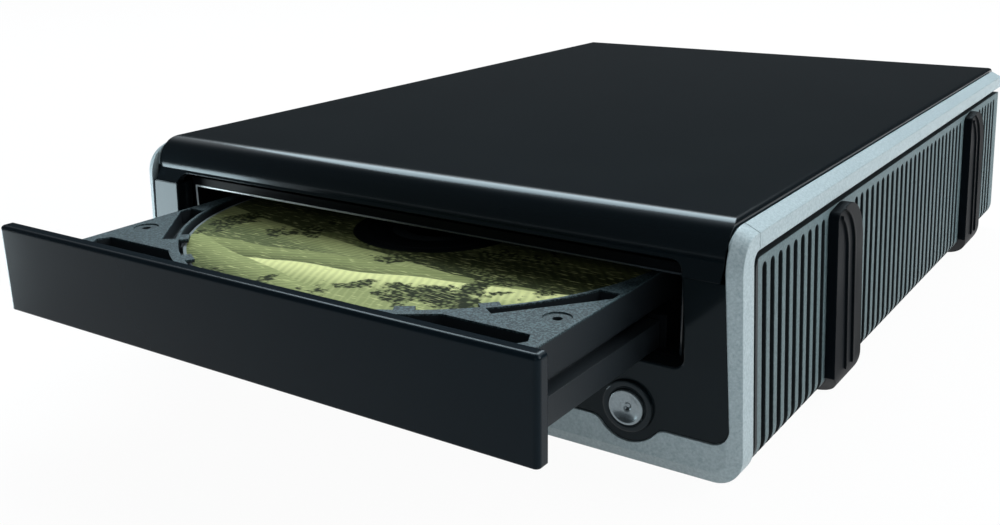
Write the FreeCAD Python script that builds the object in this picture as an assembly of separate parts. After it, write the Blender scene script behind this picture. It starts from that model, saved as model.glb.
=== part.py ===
import FreeCAD, Part
import math
import os

from FreeCAD import Vector

# External disc drive: a slot-loading mechanism with a sliding tray inside a desktop enclosure.
# Millimetres. +X is right seen from the front, +Y runs back, +Z is up. The desk is Z = 0.
# Every piece is built with Y = 0 on the front face, then moved so that the box of the whole
# part, with its tray half out, is centred on the origin.

# Enclosure envelope
FOOT_DROP = 2.5           # frame underside above the desk
SIDE_FLARE = 2.8          # each side leans out by this much from top to bottom
SHELL_CORNER_R = 6.0      # lower long edges
SHELL_FRONT_R = 8.5       # where the front legs bend back into the side rails
SHELL_WALL = 2.0
FACET_DEPTH = 1.5         # facet round the trim, along the side or front face
FACET_WIDTH = 2.9
SEAM = 0.15               # gap between neighbouring casing parts
SIDE_SPACE = 11.2         # mechanism case to the side of the body at the trim's top
ROOF_SPACE = 6.8          # mechanism case to the top of the trim
REAR_BAY = 62.8           # room for the electronics behind the mechanism case

# Cutting tools
FAR = 150.0               # beyond the case on every side
OVER = 1.0                # how far a cutting tool runs past a face
TOUCH = 1e-3              # tolerance for finding edges by their place

# Silver frame and rails
LEG_DEPTH = 7.0           # side band of each front leg
LEG_INSET = 3.1           # leg border, inwards from the side face, at the top
LEG_INSET_LOW = 2.3       # the same at the lower band
BAND_HEIGHT = 9.0         # lower front band
BORDER_R = 3.5
RAIL_SPLIT = 9.8          # seam between frame and side rail
RAIL_DROP = 4.9           # side rail, top to lower edge
RAIL_LAP = 3.2            # rail's flat top, inwards from the side face
RAIL_FOLD_R = 2.5

# Top cover
COVER_RISE = 1.2          # cover top above the trim
COVER_GAP = 0.4           # cover's side to the flat top of the rail
COVER_WALL = 2.2
COVER_OVERHANG = 3.0      # how far the cover's rear edge passes the body
COVER_EDGE_R = 1.2
ROLL_R = 7.5              # roll over the front edge
BROW_DEPTH = 2.0          # how far the lip flares forward of the roll
SKIRT_DROP = 9.0          # side skirts below the cover top
REAR_ROLL_R = 3.0
REAR_LIP_DROP = 6.5

# Front opening, measured up from the frame underside
OPENING_INSET = 12.15     # each side of the opening, inwards from the leaning side face
OPENING_SILL = 23.5
OPENING_LIP = 45.7
PARTING = 42.8            # joint between cover and front panel
OPENING_R = 3.0
OPENING_LOW_R = 2.2
OPENING_EDGE_R = 0.5      # soft front edge of the opening
PANEL_RECESS = 0.4
PANEL_WALL = 1.7
PANEL_FLANGE = 1.5
REVEAL_DEPTH = 1.6        # return wall behind the opening
REVEAL_WALL = 1.2

# Eject button
BUTTON_INSET = 11.3        # mechanism's side to the button's axis
BUTTON_UP = 12.8          # above the frame underside
BUTTON_R = 3.95
BUTTON_CLEAR = 0.2
BUTTON_TRAVEL = 0.8
BUTTON_PROUD = 1.6
BUTTON_CAP = 2.6
BUTTON_DISH = 0.7
BUTTON_RIM = 0.7          # flat rim round the dish
BUTTON_EDGE_R = 0.35
DIMPLE_R = 0.8
RING_R = 5.7
RING_PROUD = 0.9
DIP_R = 8.1               # frame band dips round the button by this radius
DIP_BLEND_R = 3.0
STEM_R = 1.6
STEM_PAST_GUIDE = 1.0
GUIDE_LENGTH = 2.0        # guide's length behind the panel's flange
RUN_FIT = 0.05            # radial running clearance
GUIDE_R = 3.2
SWITCH_GAP = 0.1
SWITCH_HALF = 3.0
SWITCH_BODY = 3.5
SWITCH_PLUNGER_R = 1.2
SWITCH_PLUNGER = 0.7
SWITCH_BOARD_REACH = 10.0
SWITCH_BOARD_TOP = 6.0

# Ribbed side panels
PANEL_SINK = 0.4          # panel face behind the side of the trim
PANEL_SKIN = 2.6
PANEL_GAP = 1.8           # dark gap between panel and trim
GAP_SINK = 2.15           # floor of that gap behind the side face
FLANGE_SKIN = 1.2
PANEL_SHORT = 1.0         # panel's rear edge, in front of the body's
PANEL_FOOTING = 9.0       # how far each panel wraps under the body
SLOT_PITCH = 4.4
SLOT_WIDTH = 2.5
SLOT_CUT = 1.2
SLOT_HEADROOM = 1.6       # slot tops below the panel's upper edge
FRONT_SLOT_Y = 13.4
SLOT_AFTER_FRONT_FOOT = 1.9
SLOT_AFTER_REAR_FOOT = 3.7
REAR_SLOT_MARGIN = 3.0

# Rubber foot bands
FOOT_FRONT_Y = 51.8
FOOT_REAR_FROM_BACK = 52.2
FOOT_WIDTH = 18.7
FOOT_PROUD = 2.0
FOOT_UNDER = 24.0         # how far each foot reaches under the body
FOOT_HEEL_R = 11.0
FOOT_TOE_R = 2.0
FOOT_SLOPE = 0.8
FOOT_LEAN = 1.2           # rear edge and ridges lean back by this much towards the desk
FOOT_CORNER_R = 8.4       # lower long edge of each foot
FOOT_TOE_RUN = 10.0       # the underside slopes down to the desk over this length
FOOT_TOE_LIFT = 8.0
FOOT_HEEL_LOW_R = 1.5
RIDGE_STEP = 5.0
RIDGE_WIDTH = 1.0
RIDGE_PROUD = 0.5
RIDGES = 2
RIDGE_END = 5.7           # lower end of the ridges above the frame underside

# Base and rear panel
BASE_WALL = 2.0
BASE_GAP = 0.6
TONGUE_T = 1.6            # front tongue of the base, lying on the frame's floor
REAR_WALL = 2.0
REAR_INSET = 1.0
VENT_COUNT = 11
VENT_PITCH = 5.0
VENT_WIDTH = 2.4
VENT_HEIGHT = 16.0
VENT_DROP = 6.0
CASE_BOSS_R = 5.0
BOARD_BOSS_R = 3.5
HEAD_CLEAR = 0.3

# Mechanism case
MECH_RISE = 4.7           # case underside above the frame underside
MECH_FRONT = 7.2
MECH_SIDE = 8.3           # tray rail to the outside of the case
MECH_TAIL = 26.2          # behind the traverse plate
MECH_HEIGHT = 41.2
SHEET = 0.8
FLAP_GAP = 0.05
FLAP_DROP = 6.0
FLAP_INSET = 4.0
CASE_SCREW_SIDE = 16.0    # case screws, inwards from the sides, the front and the back
CASE_SCREW_FRONT = 20.0
CASE_SCREW_REAR = 30.0
SIDE_HOLES = (52.0, 131.0)
SIDE_HOLE_RISE = 10.0

# Disc and tray, heights measured down from the tray's top plate
TRAY_TOP_RISE = 34.2      # tray top above the case underside
DISC_R = 60.0
DISC_T = 1.2
DISC_HOLE_R = 7.5
DISC_LEAD = 9.5           # door face to disc edge
TRAY_OUT = 51.5           # how far the tray is out in the rest pose
TRAY_SHORT = 0.5          # tray's length, less than the case's
PLATE_MARGIN = 2.6        # tray plate's edge, outside the disc
RAIL_PROUD = 2.1          # side rail, outside the plate's edge
TRAY_SLAB = 4.8
WELL_CLEAR = 0.9
WELL_DEPTH = 2.6
SMALL_WELL_R = 40.5
SMALL_WELL_DEPTH = 1.0
GROOVE_FROM = 7.5
GROOVE_TO = 9.1
GROOVE_CUT = 1.6
TRAY_RAIL_TO = 14.9
TRAY_RAIL_WIDTH = 4.1
WINDOW_HALF = 19.0
WINDOW_PAST_DISC = 28.0
RIM_WALL = 2.3            # wall between disc well and finger pocket
POCKET_REAR_IN = 9.8      # pocket edges, inwards from the disc's edge
POCKET_FRONT_IN = 2.8
POCKET_SIDE_IN = 0.2
POCKET_INNER_X = 10.0
POCKET_FRONT_CUT = 2.5    # cut-off corners of the pocket
POCKET_REAR_CUT = 3.0
POCKET_REAR_STEP = 1.4
POCKET_DEPTH = 7.5
POCKET_WALL = 1.2
CORNER_SLOT_RIM = 0.7     # wall between disc well and corner slot
CORNER_SLOT_EDGE = 0.6    # wall between corner slot and the plate's edge
CORNER_SLOT_DEPTH = 3.4
CORNER_SLOT_START = (-13.5, 45.2)    # from the disc's edge in X, in front of its centre in Y
CORNER_SLOT_TURN = 26.0
CORNER_SLOT_END = 22.6
DIMPLE_IN = 2.0           # dimple, inwards from the disc's edge
DIMPLE_FORE = 40.2        # and in front of its centre
TRAY_DIMPLE_R = 2.9
TRAY_DIMPLE_HOLE_R = 1.0
TRAY_DIMPLE_DEPTH = 0.3
TRAY_DIMPLE_HOLE_DEPTH = 3.0
TAB_ANGLES = (120.7, 136.5)
TAB_HALF_ANGLE = 2.0
TAB_REACH = 2.2
TAB_T = 0.8
TAB_ROOT = 0.6
TRAY_SKIRT_T = 2.0
TRAY_NECK_T = 1.6
TRAY_WEB_T = 1.2
TRAY_BEAM_T = 2.0

# Tray door
DOOR_INSET = 12.1         # door's ends, inwards from the body's side at the trim's top
DOOR_T = 3.0
DOOR_SILL = 0.7           # gap below the closed door
DOOR_HEIGHT = 20.3
DOOR_TOP_R = 1.1
DOOR_END_R = 1.1
DOOR_EDGE_R = 0.4

# Loader frame and its guides
GUIDE_FIT = 0.08
GUIDE_LEDGE = 1.5
LOADER_WALL = 2.0
LOADER_FRONT_BACK = 1.8   # loader's front ring starts this far in front of the case
RING_SIDE = 2.5           # ring's upright bars, with the case wall beside them
RING_TOP = 2.5            # ring's upper bar above the tray plate
RING_T = 2.3
LOADER_SHORT = 5.0        # loader's length, less than the case's
DECK_RISE = 8.5
DECK_RIGHT = 22.0
DECK_T = 1.5
DECK_DEPTH = 33.0

# Loading gears
GEAR_Y = 24.0
RACK_MODULE = 1.0
TRAIN_MODULE = 0.8
RACK_INSET = 9.6          # rack's pitch line, inwards from the plate's edge
RACK_BODY = 5.0
RACK_HEIGHT = 4.0
TRAY_GEAR_TEETH = 20
TRAY_WHEEL_TEETH = 36
PINION_TEETH = 12
GEAR_FACE = 3.6
BACKLASH = 0.14
AXLE_R = 1.5
BELT_PULLEY_R = 14.0
MOTOR_PULLEY_R = 3.2
PULLEY_T = 3.0
BELT_SPAN = 24.3
BELT_T = 1.3
BELT_CLEAR = 0.05
LOAD_MOTOR_R = 10.0
MOTOR_SHAFT_R = 1.0

# Spindle, clamp and pickup
TURNTABLE_DROP = 5.8      # turntable's lowered top below the tray plate
TURNTABLE_R = 14.0
HUB_CONE_R = 7.3
TURNTABLE_T = 1.0
HUB_CONE_H = 1.0
SPINDLE_MOTOR_R = 12.5
SPINDLE_MOTOR_H = 8.2
SPINDLE_SHAFT_R = 1.5
TRAVERSE_T = 2.0
TRAVERSE_HALF = 36.0
TRAVERSE_FRONT = 21.5     # in front of the spindle
TRAVERSE_TAIL = 18.5      # behind the lens at the outer stop
SLED_START = 24.0         # lens to spindle at the inner stop
SLED_TRAVEL = 34.0
SLED_LENGTH = 16.0
SLED_HEIGHT = 5.0
ROD_R = 1.5
ROD_SPREAD = 23.0
ROD_LIFT = 1.4
LENS_R = 2.2
SCREW_R = 1.5
SCREW_X = 33.5
SCREW_LENGTH = 50.0
STEP_MOTOR_R = 4.0
STEP_MOTOR_L = 12.0
DAMPER_R = 3.0
DAMPER_H = 4.0
CRADLE_T = 2.0
CRADLE_HALF = 44.0
CRADLE_WINDOW_HALF = 24.0
CRADLE_WINDOW_FRONT = 14.0
CRADLE_WINDOW_REAR = 16.0
CRADLE_LEAD = 2.0         # cradle's front ahead of the traverse
SLIDER_HALF = 40.0
SLIDER_T = 3.0
SLIDER_RACK = 10.0        # width of the slider's raised end
SLIDER_LOW = 5.0          # slider below the gear deck
SLIDER_HIGH = 2.0         # slider above the cradle
RAMP_HALF = 18.0
RAMP_BEND = 8.0
RAMP_T = 2.2
BRIDGE_WIDTH = 22.0
BRIDGE_T = 1.0
BRIDGE_DROP = 1.4         # bridge top below the lid
PUCK_R = 13.0
PUCK_NECK_R = 8.9
PUCK_FLANGE_R = 11.0
PUCK_T = 2.0
PUCK_HANG = 0.5

# Electronics
BOARD_T = 1.6
BOARD_LIFT = 2.4
DRIVE_BOARD_HALF = 58.0
DRIVE_BOARD_LEAD = 84.8   # case front to the drive board
DRIVE_BOARD_TAIL = 4.2
# chips: place across, place behind the board's front, width, length, height
DRIVE_CHIPS = ((-20.0, 30.0, 18.0, 18.0, 1.6), (12.0, 26.0, 14.0, 20.0, 1.3), (34.0, 40.0, 12.0, 12.0, 1.4))
BRIDGE_CHIPS = ((-28.0, 20.0, 12.0, 12.0, 1.5), (4.0, 18.0, 10.0, 6.0, 1.3), (-12.0, 26.0, 8.0, 4.0, 3.5))
# capacitors: place across, place behind the board's front, radius, height
DRIVE_CANS = ((-44.0, 20.0, 3.0, 3.0), (46.0, 14.0, 2.5, 3.0))
BRIDGE_CANS = ((20.0, 22.0, 4.0, 9.0), (-46.0, 26.0, 3.0, 7.0))
STANDOFF_R = 3.0
STANDOFF_INSET = 6.0
PLUG_TAIL = 9.0           # length of the drive board's own plug
PLUG_OVERLAP = 3.0        # how far the bridge board's plug reaches over that board
PLUG_FIT = 0.4
BRIDGE_BOARD_RISE = 8.0
BRIDGE_BOARD_GAP = 8.8    # case back to the bridge board
BRIDGE_BOARD_TAIL = 0.5
BOARD_SCREW_INSET = 5.0
BRIDGE_BOARD_LEFT = -62.0
BRIDGE_BOARD_RIGHT = 34.0
PLUG_LEFT = -52.0
PLUG_RIGHT = 18.0
PLUG_HEIGHT = 9.4
USB_X = -38.0
USB_WIDTH = 12.0
USB_HEIGHT = 11.0
USB_DEPTH = 16.0
JACK_X = -14.0
JACK_WIDTH = 9.0
JACK_HEIGHT = 11.0
JACK_DEPTH = 14.0
JACK_BORE_R = 3.15
JACK_PIN_R = 1.05
SWITCH_X = 16.0
SWITCH_WIDTH = 13.0
SWITCH_HEIGHT = 19.0
SWITCH_DEPTH = 14.0
ROCKER_TILT = 8.0
ROCKER_PIN_R = 1.0
PORT_FIT = 0.15

# Fasteners
SCREW_HEAD_R = 2.8
SCREW_HEAD_H = 1.6
SCREW_SHANK_R = 1.5
SCREW_SHANK_L = 5.0

# Widths that follow from the disc: tray, mechanism, enclosure
PLATE_HALF = DISC_R + PLATE_MARGIN
RAIL_HALF = PLATE_HALF + RAIL_PROUD
MECH_HALF = RAIL_HALF + MECH_SIDE
RING_HALF = MECH_HALF - RING_SIDE
BUTTON_X = MECH_HALF - BUTTON_INSET
SHELL_TOP_HALF = MECH_HALF + SIDE_SPACE      # half width at the top of the trim
DOOR_HALF = SHELL_TOP_HALF - DOOR_INSET
COVER_HALF = SHELL_TOP_HALF - RAIL_LAP - COVER_GAP
RACK_PITCH_X = PLATE_HALF - RACK_INSET

# Lengths that follow from the disc and the pickup's travel
DISC_BACK = DISC_R + DISC_LEAD               # door face to disc centre
TRAVERSE_BACK = SLED_START + SLED_TRAVEL + TRAVERSE_TAIL
MECH_DEPTH = DISC_BACK + TRAVERSE_BACK + MECH_TAIL - MECH_FRONT
MECH_REAR = MECH_FRONT + MECH_DEPTH
TRAY_LENGTH = MECH_DEPTH - TRAY_SHORT
LOADER_LENGTH = MECH_DEPTH - LOADER_SHORT
SHELL_DEPTH = MECH_REAR + REAR_BAY
COVER_DEPTH = SHELL_DEPTH + COVER_OVERHANG
PANEL_REAR = SHELL_DEPTH - PANEL_SHORT
FOOT_REAR_Y = SHELL_DEPTH - FOOT_REAR_FROM_BACK
DRIVE_BOARD_FRONT = MECH_FRONT + DRIVE_BOARD_LEAD
DRIVE_BOARD_DEPTH = MECH_REAR - DRIVE_BOARD_TAIL - DRIVE_BOARD_FRONT
BRIDGE_BOARD_FRONT = MECH_REAR + BRIDGE_BOARD_GAP

# Heights
SHELL_HEIGHT = MECH_RISE + MECH_HEIGHT + ROOF_SPACE   # frame underside to the top of the trim
SHELL_Z0 = FOOT_DROP
TRIM_Z = SHELL_Z0 + SHELL_HEIGHT
COVER_Z = TRIM_Z + COVER_RISE
SILL_Z = SHELL_Z0 + OPENING_SILL
LIP_Z = SHELL_Z0 + OPENING_LIP
PARTING_Z = SHELL_Z0 + PARTING
BAND_Z = SHELL_Z0 + BAND_HEIGHT
RAIL_Z = TRIM_Z - RAIL_DROP
SIDE_TOP_Z = RAIL_Z - PANEL_GAP
BUTTON_Z = SHELL_Z0 + BUTTON_UP
MECH_Z0 = SHELL_Z0 + MECH_RISE
MECH_Z1 = MECH_Z0 + MECH_HEIGHT
TRAY_Z = MECH_Z0 + TRAY_TOP_RISE
DISC_Z = TRAY_Z - WELL_DEPTH
WELL_R = DISC_R + WELL_CLEAR
SPINDLE_Y = DISC_BACK
DISC_Y = SPINDLE_Y - TRAY_OUT
DOOR_Y = -TRAY_OUT
TRAY_FRONT = DOOR_Y + DOOR_T
TRAY_REAR = TRAY_FRONT + TRAY_LENGTH
TRAY_RAIL_Z0 = TRAY_Z - TRAY_RAIL_TO
TRAY_RAIL_Z1 = TRAY_Z - GROOVE_TO
SLAB_Z = TRAY_Z - TRAY_SLAB
LOADER_FRONT = MECH_FRONT - LOADER_FRONT_BACK
LOADER_Z0 = MECH_Z0 + SHEET
LEG_X = RAIL_HALF + GUIDE_FIT + 1.5
DECK_Z0 = LOADER_Z0 + DECK_RISE
DECK_Z1 = DECK_Z0 + DECK_T
TRAY_GEAR_R = RACK_MODULE * TRAY_GEAR_TEETH / 2.0
TRAY_WHEEL_R = TRAIN_MODULE * TRAY_WHEEL_TEETH / 2.0
PINION_R = TRAIN_MODULE * PINION_TEETH / 2.0
TRAY_GEAR_X = -RACK_PITCH_X + TRAY_GEAR_R
BELT_PULLEY_X = TRAY_GEAR_X + TRAY_WHEEL_R + PINION_R
MOTOR_X = BELT_PULLEY_X + BELT_SPAN
PULLEY_Z0 = DECK_Z1 + 0.4
WHEEL_Z0 = PULLEY_Z0 + PULLEY_T + 0.6
RACK_Z0 = SLAB_Z - 8.6
TURNTABLE_Z1 = TRAY_Z - TURNTABLE_DROP
TURNTABLE_Z0 = TURNTABLE_Z1 - HUB_CONE_H - TURNTABLE_T
SPINDLE_Z1 = TURNTABLE_Z0 - 0.5
TRAVERSE_Z1 = SPINDLE_Z1 - SPINDLE_MOTOR_H
TRAVERSE_Z0 = TRAVERSE_Z1 - TRAVERSE_T
TRAVERSE_Y0 = SPINDLE_Y - TRAVERSE_FRONT
TRAVERSE_Y1 = SPINDLE_Y + TRAVERSE_BACK
CRADLE_Z1 = TRAVERSE_Z0 - DAMPER_H
CRADLE_Z0 = CRADLE_Z1 - CRADLE_T
ROD_Z = TRAVERSE_Z1 + ROD_R + ROD_LIFT
LENS_Y = SPINDLE_Y + SLED_START
BRIDGE_Z1 = MECH_Z1 - SHEET - BRIDGE_DROP
BRIDGE_Z0 = BRIDGE_Z1 - BRIDGE_T
CENTRE_Y = (COVER_DEPTH - TRAY_OUT) / 2.0

NODES = {}


def keep(name, shape):
    """Record one finished piece under its node name, in the frame of the whole part."""
    moved = shape.copy()
    moved.translate(Vector(0, -CENTRE_Y, 0))
    if not moved.isValid():
        raise ValueError(name + " is not a valid solid")
    NODES[name] = moved


def box(x0, x1, y0, y1, z0, z1):
    return Part.makeBox(x1 - x0, y1 - y0, z1 - z0, Vector(x0, y0, z0))


def tube_z(x, y, z0, z1, radius, bore=0.0):
    """A post or ring standing along Z."""
    post = Part.makeCylinder(radius, z1 - z0, Vector(x, y, z0))
    if bore > 0:
        post = post.cut(Part.makeCylinder(bore, z1 - z0, Vector(x, y, z0)))
    return post


def tube_y(x, z, y0, y1, radius, bore=0.0):
    """A rod or ring lying along Y."""
    rod = Part.makeCylinder(radius, y1 - y0, Vector(x, y0, z), Vector(0, 1, 0))
    if bore > 0:
        rod = rod.cut(Part.makeCylinder(bore, y1 - y0, Vector(x, y0, z), Vector(0, 1, 0)))
    return rod


def prism(points, direction):
    """Extrude the closed outline through the points."""
    corners = [Vector(*p) for p in points]
    face = Part.Face(Part.makePolygon(corners + [corners[0]]))
    return face.extrude(direction)


def prism_y(outline, y0, y1):
    """Extrude an outline of (x, z) points along Y."""
    return prism([(x, y0, z) for x, z in outline], Vector(0, y1 - y0, 0))


def prism_x(outline, x0, x1):
    """Extrude an outline of (y, z) points along X."""
    return prism([(x0, y, z) for y, z in outline], Vector(x1 - x0, 0, 0))


def prism_z(outline, z0, z1):
    """Extrude an outline of (x, y) points along Z."""
    return prism([(x, y, z0) for x, y in outline], Vector(0, 0, z1 - z0))


def union(shapes):
    """Fuse shapes and merge the faces that lie in one plane."""
    first = shapes[0]
    if len(shapes) > 1:
        first = first.fuse(shapes[1:])
    return first.removeSplitter()


def group(shapes):
    """Separate solids that share one node."""
    return Part.makeCompound(shapes)


def mirrored(shape):
    """The same piece on the other side of the centre plane."""
    return shape.mirror(Vector(0, 0, 0), Vector(1, 0, 0))


def both_sides(shape):
    return [shape, mirrored(shape)]


def edge_spans(shape, test):
    """Edges whose bounding box passes the test."""
    return [edge for edge in shape.Edges if test(edge.BoundBox)]


# The enclosure's common outer form


def side_x(z):
    """Half width of the body at a height: the sides lean outwards going down."""
    return SHELL_TOP_HALF + SIDE_FLARE * (TRIM_Z - z) / SHELL_HEIGHT


def body_section(grow_side, z0, z1, y0, y1, corner_r):
    """The body's cross-section run along Y, moved outwards by grow_side."""
    low = side_x(z0) + grow_side
    high = side_x(z1) + grow_side
    solid = prism_y([(-low, z0), (low, z0), (high, z1), (-high, z1)], y0, y1)
    if corner_r <= 0:
        return solid
    length = y1 - y0
    edges = edge_spans(solid, lambda b: abs(b.YLength - length) < 1e-6 and b.ZMax < z0 + TOUCH)
    return solid.makeFillet(corner_r, edges)


def side_profile(y0, y1, z0, z1, front_r):
    """The body's side view run along X, with its front top corner rounded."""
    reach = 2 * (SHELL_TOP_HALF + SIDE_FLARE)
    solid = box(-reach, reach, y0, y1, z0, z1)
    edges = edge_spans(solid, lambda b: b.YMax < y0 + TOUCH and b.ZMin > z1 - TOUCH)
    return solid.makeFillet(front_r, edges)


def body(inset):
    """The body's outer form, or the form that lies inset behind it."""
    z0 = SHELL_Z0 + inset
    z1 = TRIM_Z - inset
    section = body_section(-inset, z0, z1, inset, SHELL_DEPTH, SHELL_CORNER_R - inset)
    return section.common(side_profile(inset, SHELL_DEPTH + 1, z0 - 1, z1, SHELL_FRONT_R - inset))


def trim_edge(edge):
    """True for the edges that run up each front leg, along the bottom and back over the rails."""
    span = edge.BoundBox
    if span.XLength > 2 * SHELL_CORNER_R and span.ZMin > SHELL_Z0 + 1:
        return False
    if span.YMax < TOUCH:
        return True
    return span.ZMin > TRIM_Z - SHELL_FRONT_R - 1 and span.YMin < SHELL_FRONT_R + 1 and span.XLength < 1


def faceted_body():
    """The outer form with the facet that catches the light all round the silver trim."""
    solid = body(0)
    return solid.makeChamfer(FACET_DEPTH, FACET_WIDTH, [e for e in solid.Edges if trim_edge(e)])


def arc_between(centre, start, end):
    """The shorter arc round a centre in the XZ plane, from one point to another."""
    radius = (start - centre).Length
    towards = (start - centre) + (end - centre)
    middle = centre + towards * (radius / towards.Length)
    return Part.Arc(start, middle, end).toShape()


def border_cut(gap, y0, y1):
    """The field inside the silver frame's border, dipping round the eject button."""
    low = BAND_Z + gap
    bottom = side_x(low) - LEG_INSET_LOW - gap
    top = side_x(COVER_Z) - LEG_INSET - gap
    dip_r = DIP_R - gap
    blend_r = DIP_BLEND_R + gap
    drop = BUTTON_Z - low
    reach = math.sqrt((dip_r + blend_r) ** 2 - (drop + blend_r) ** 2)
    share = dip_r / (dip_r + blend_r)
    touch_z = BUTTON_Z - (drop + blend_r) * share
    left = Vector(-bottom, y0, low)
    right = Vector(bottom, y0, low)
    right_top = Vector(top, y0, COVER_Z)
    left_top = Vector(-top, y0, COVER_Z)
    starts = [Vector(BUTTON_X + side * reach, y0, low) for side in (-1, 1)]
    touches = [Vector(BUTTON_X + side * reach * share, y0, touch_z) for side in (-1, 1)]
    centres = [Vector(BUTTON_X + side * reach, y0, low - blend_r) for side in (-1, 1)]
    dip_low = Vector(BUTTON_X, y0, BUTTON_Z - dip_r)
    outline = Part.Wire([
        Part.LineSegment(left, starts[0]).toShape(),
        arc_between(centres[0], starts[0], touches[0]),
        Part.Arc(touches[0], dip_low, touches[1]).toShape(),
        arc_between(centres[1], touches[1], starts[1]),
        Part.LineSegment(starts[1], right).toShape(),
        Part.LineSegment(right, right_top).toShape(),
        Part.LineSegment(right_top, left_top).toShape(),
        Part.LineSegment(left_top, left).toShape(),
    ])
    field = Part.Face(outline).extrude(Vector(0, y1 - y0, 0))
    corners = edge_spans(field, lambda b: b.ZMax < low + TOUCH and b.XLength < TOUCH
                         and max(-b.XMin, b.XMax) > bottom - TOUCH)
    return field.makeFillet(BORDER_R, corners)


def opening_form(grow, y0, y1, z0, z1):
    """The front opening's outline, whose sides lean like the body's, run along Y."""
    low = side_x(z0) - OPENING_INSET + grow
    high = side_x(z1) - OPENING_INSET + grow
    return prism_y([(-low, z0), (low, z0), (high, z1), (-high, z1)], y0, y1)


def leg_and_rail_field(gap):
    """Side view of the ribbed panel's place, behind the leg and under the rail."""
    y0 = LEG_DEPTH + gap
    z1 = RAIL_Z - gap
    solid = box(-FAR, FAR, y0, SHELL_DEPTH + 5, -5, z1)
    edges = edge_spans(solid, lambda b: b.YMax < y0 + TOUCH and b.ZMin > z1 - TOUCH)
    return solid.makeFillet(RAIL_FOLD_R, edges)


# Silver trim


def make_frame():
    """U-shaped front frame: lower band, two legs and the bends up to the rails."""
    skin = faceted_body().cut(body(SHELL_WALL))
    front = skin.common(box(-FAR, FAR, -1, RAIL_SPLIT, 0, TRIM_Z + 1))
    front = front.cut(leg_and_rail_field(0))
    front = front.cut(border_cut(0, -1, SHELL_WALL + 0.5))
    roof = side_x(TRIM_Z) - RAIL_LAP
    front = front.cut(box(-roof, roof, -1, RAIL_SPLIT + 1, BAND_Z + BORDER_R + 10, TRIM_Z + 1))
    keep("front_frame", front.removeSplitter())


def make_rails():
    """Side rails that carry the trim's facet back along both upper edges."""
    skin = faceted_body().cut(body(SHELL_WALL))
    roof = side_x(TRIM_Z) - RAIL_LAP
    rail = skin.common(box(roof, FAR, RAIL_SPLIT + SEAM, SHELL_DEPTH, RAIL_Z, TRIM_Z + 1))
    keep("side_rail_right", rail)
    keep("side_rail_left", mirrored(rail))


# Top cover


def cover_profile(inset):
    """Side view of the cover as a face: brow, front roll, flat roof and rear roll."""
    front = inset
    roll_z = COVER_Z - ROLL_R
    roll_y = BROW_DEPTH + ROLL_R
    radius = ROLL_R - inset
    rear = COVER_DEPTH - inset
    top = COVER_Z - inset
    rear_r = REAR_ROLL_R - inset * 0.5
    brow_low = Vector(0, front, PARTING_Z - 6)
    brow = Vector(0, front, PARTING_Z + SEAM)
    brow_mid = Vector(0, front + BROW_DEPTH * 0.62, (PARTING_Z + roll_z) / 2 + 0.2)
    roll_start = Vector(0, roll_y - radius, roll_z)
    half = math.sqrt(0.5) * radius
    roll_mid = Vector(0, roll_y - half, roll_z + half)
    roof_start = Vector(0, roll_y, top)
    roof_end = Vector(0, rear - rear_r, top)
    rear_half = math.sqrt(0.5) * rear_r
    rear_mid = Vector(0, rear - rear_r + rear_half, top - rear_r + rear_half)
    rear_start = Vector(0, rear, top - rear_r)
    rear_low = Vector(0, rear, PARTING_Z - 6)
    edges = [
        Part.LineSegment(brow_low, brow).toShape(),
        Part.Arc(brow, brow_mid, roll_start).toShape(),
        Part.Arc(roll_start, roll_mid, roof_start).toShape(),
        Part.LineSegment(roof_start, roof_end).toShape(),
        Part.Arc(roof_end, rear_mid, rear_start).toShape(),
        Part.LineSegment(rear_start, rear_low).toShape(),
        Part.LineSegment(rear_low, brow_low).toShape(),
    ]
    return Part.Face(Part.Wire(edges))


def make_cover():
    """Glossy cover: flat roof, front roll with the opening's lip, side skirts, rear edge."""
    outer = cover_profile(0).extrude(Vector(2 * COVER_HALF, 0, 0))
    outer.translate(Vector(-COVER_HALF, 0, 0))
    section = prism_y([(-COVER_HALF, 0), (COVER_HALF, 0), (COVER_HALF, COVER_Z),
                       (-COVER_HALF, COVER_Z)], -1, COVER_DEPTH + 1)
    long_edges = edge_spans(section, lambda b: b.YLength > COVER_DEPTH and b.ZMin > COVER_Z - TOUCH)
    outer = outer.common(section.makeFillet(COVER_EDGE_R, long_edges))
    inner_half = COVER_HALF - COVER_WALL
    inner = cover_profile(COVER_WALL).extrude(Vector(2 * inner_half, 0, 0))
    inner.translate(Vector(-inner_half, 0, 0))
    shell = outer.cut(inner)
    shell = shell.cut(box(-FAR, FAR, -1, COVER_DEPTH + 1, 0, PARTING_Z + SEAM))
    roll_back = BROW_DEPTH + ROLL_R
    skirt_z = COVER_Z - SKIRT_DROP
    shell = shell.cut(box(-FAR, FAR, roll_back, COVER_DEPTH - 4, 0, skirt_z))
    rear_z = COVER_Z - REAR_LIP_DROP
    shell = shell.cut(box(-FAR, FAR, COVER_DEPTH - 5, COVER_DEPTH + 1, 0, rear_z))
    mouth = opening_form(0, -OVER, roll_back, PARTING_Z - OVER, LIP_Z)
    mouth_edges = edge_spans(mouth, lambda b: b.ZMin > LIP_Z - TOUCH and b.XLength < TOUCH)
    shell = shell.cut(mouth.makeFillet(OPENING_R, mouth_edges))
    keep("top_cover", shell.removeSplitter())


# Front panel and eject button


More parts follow.
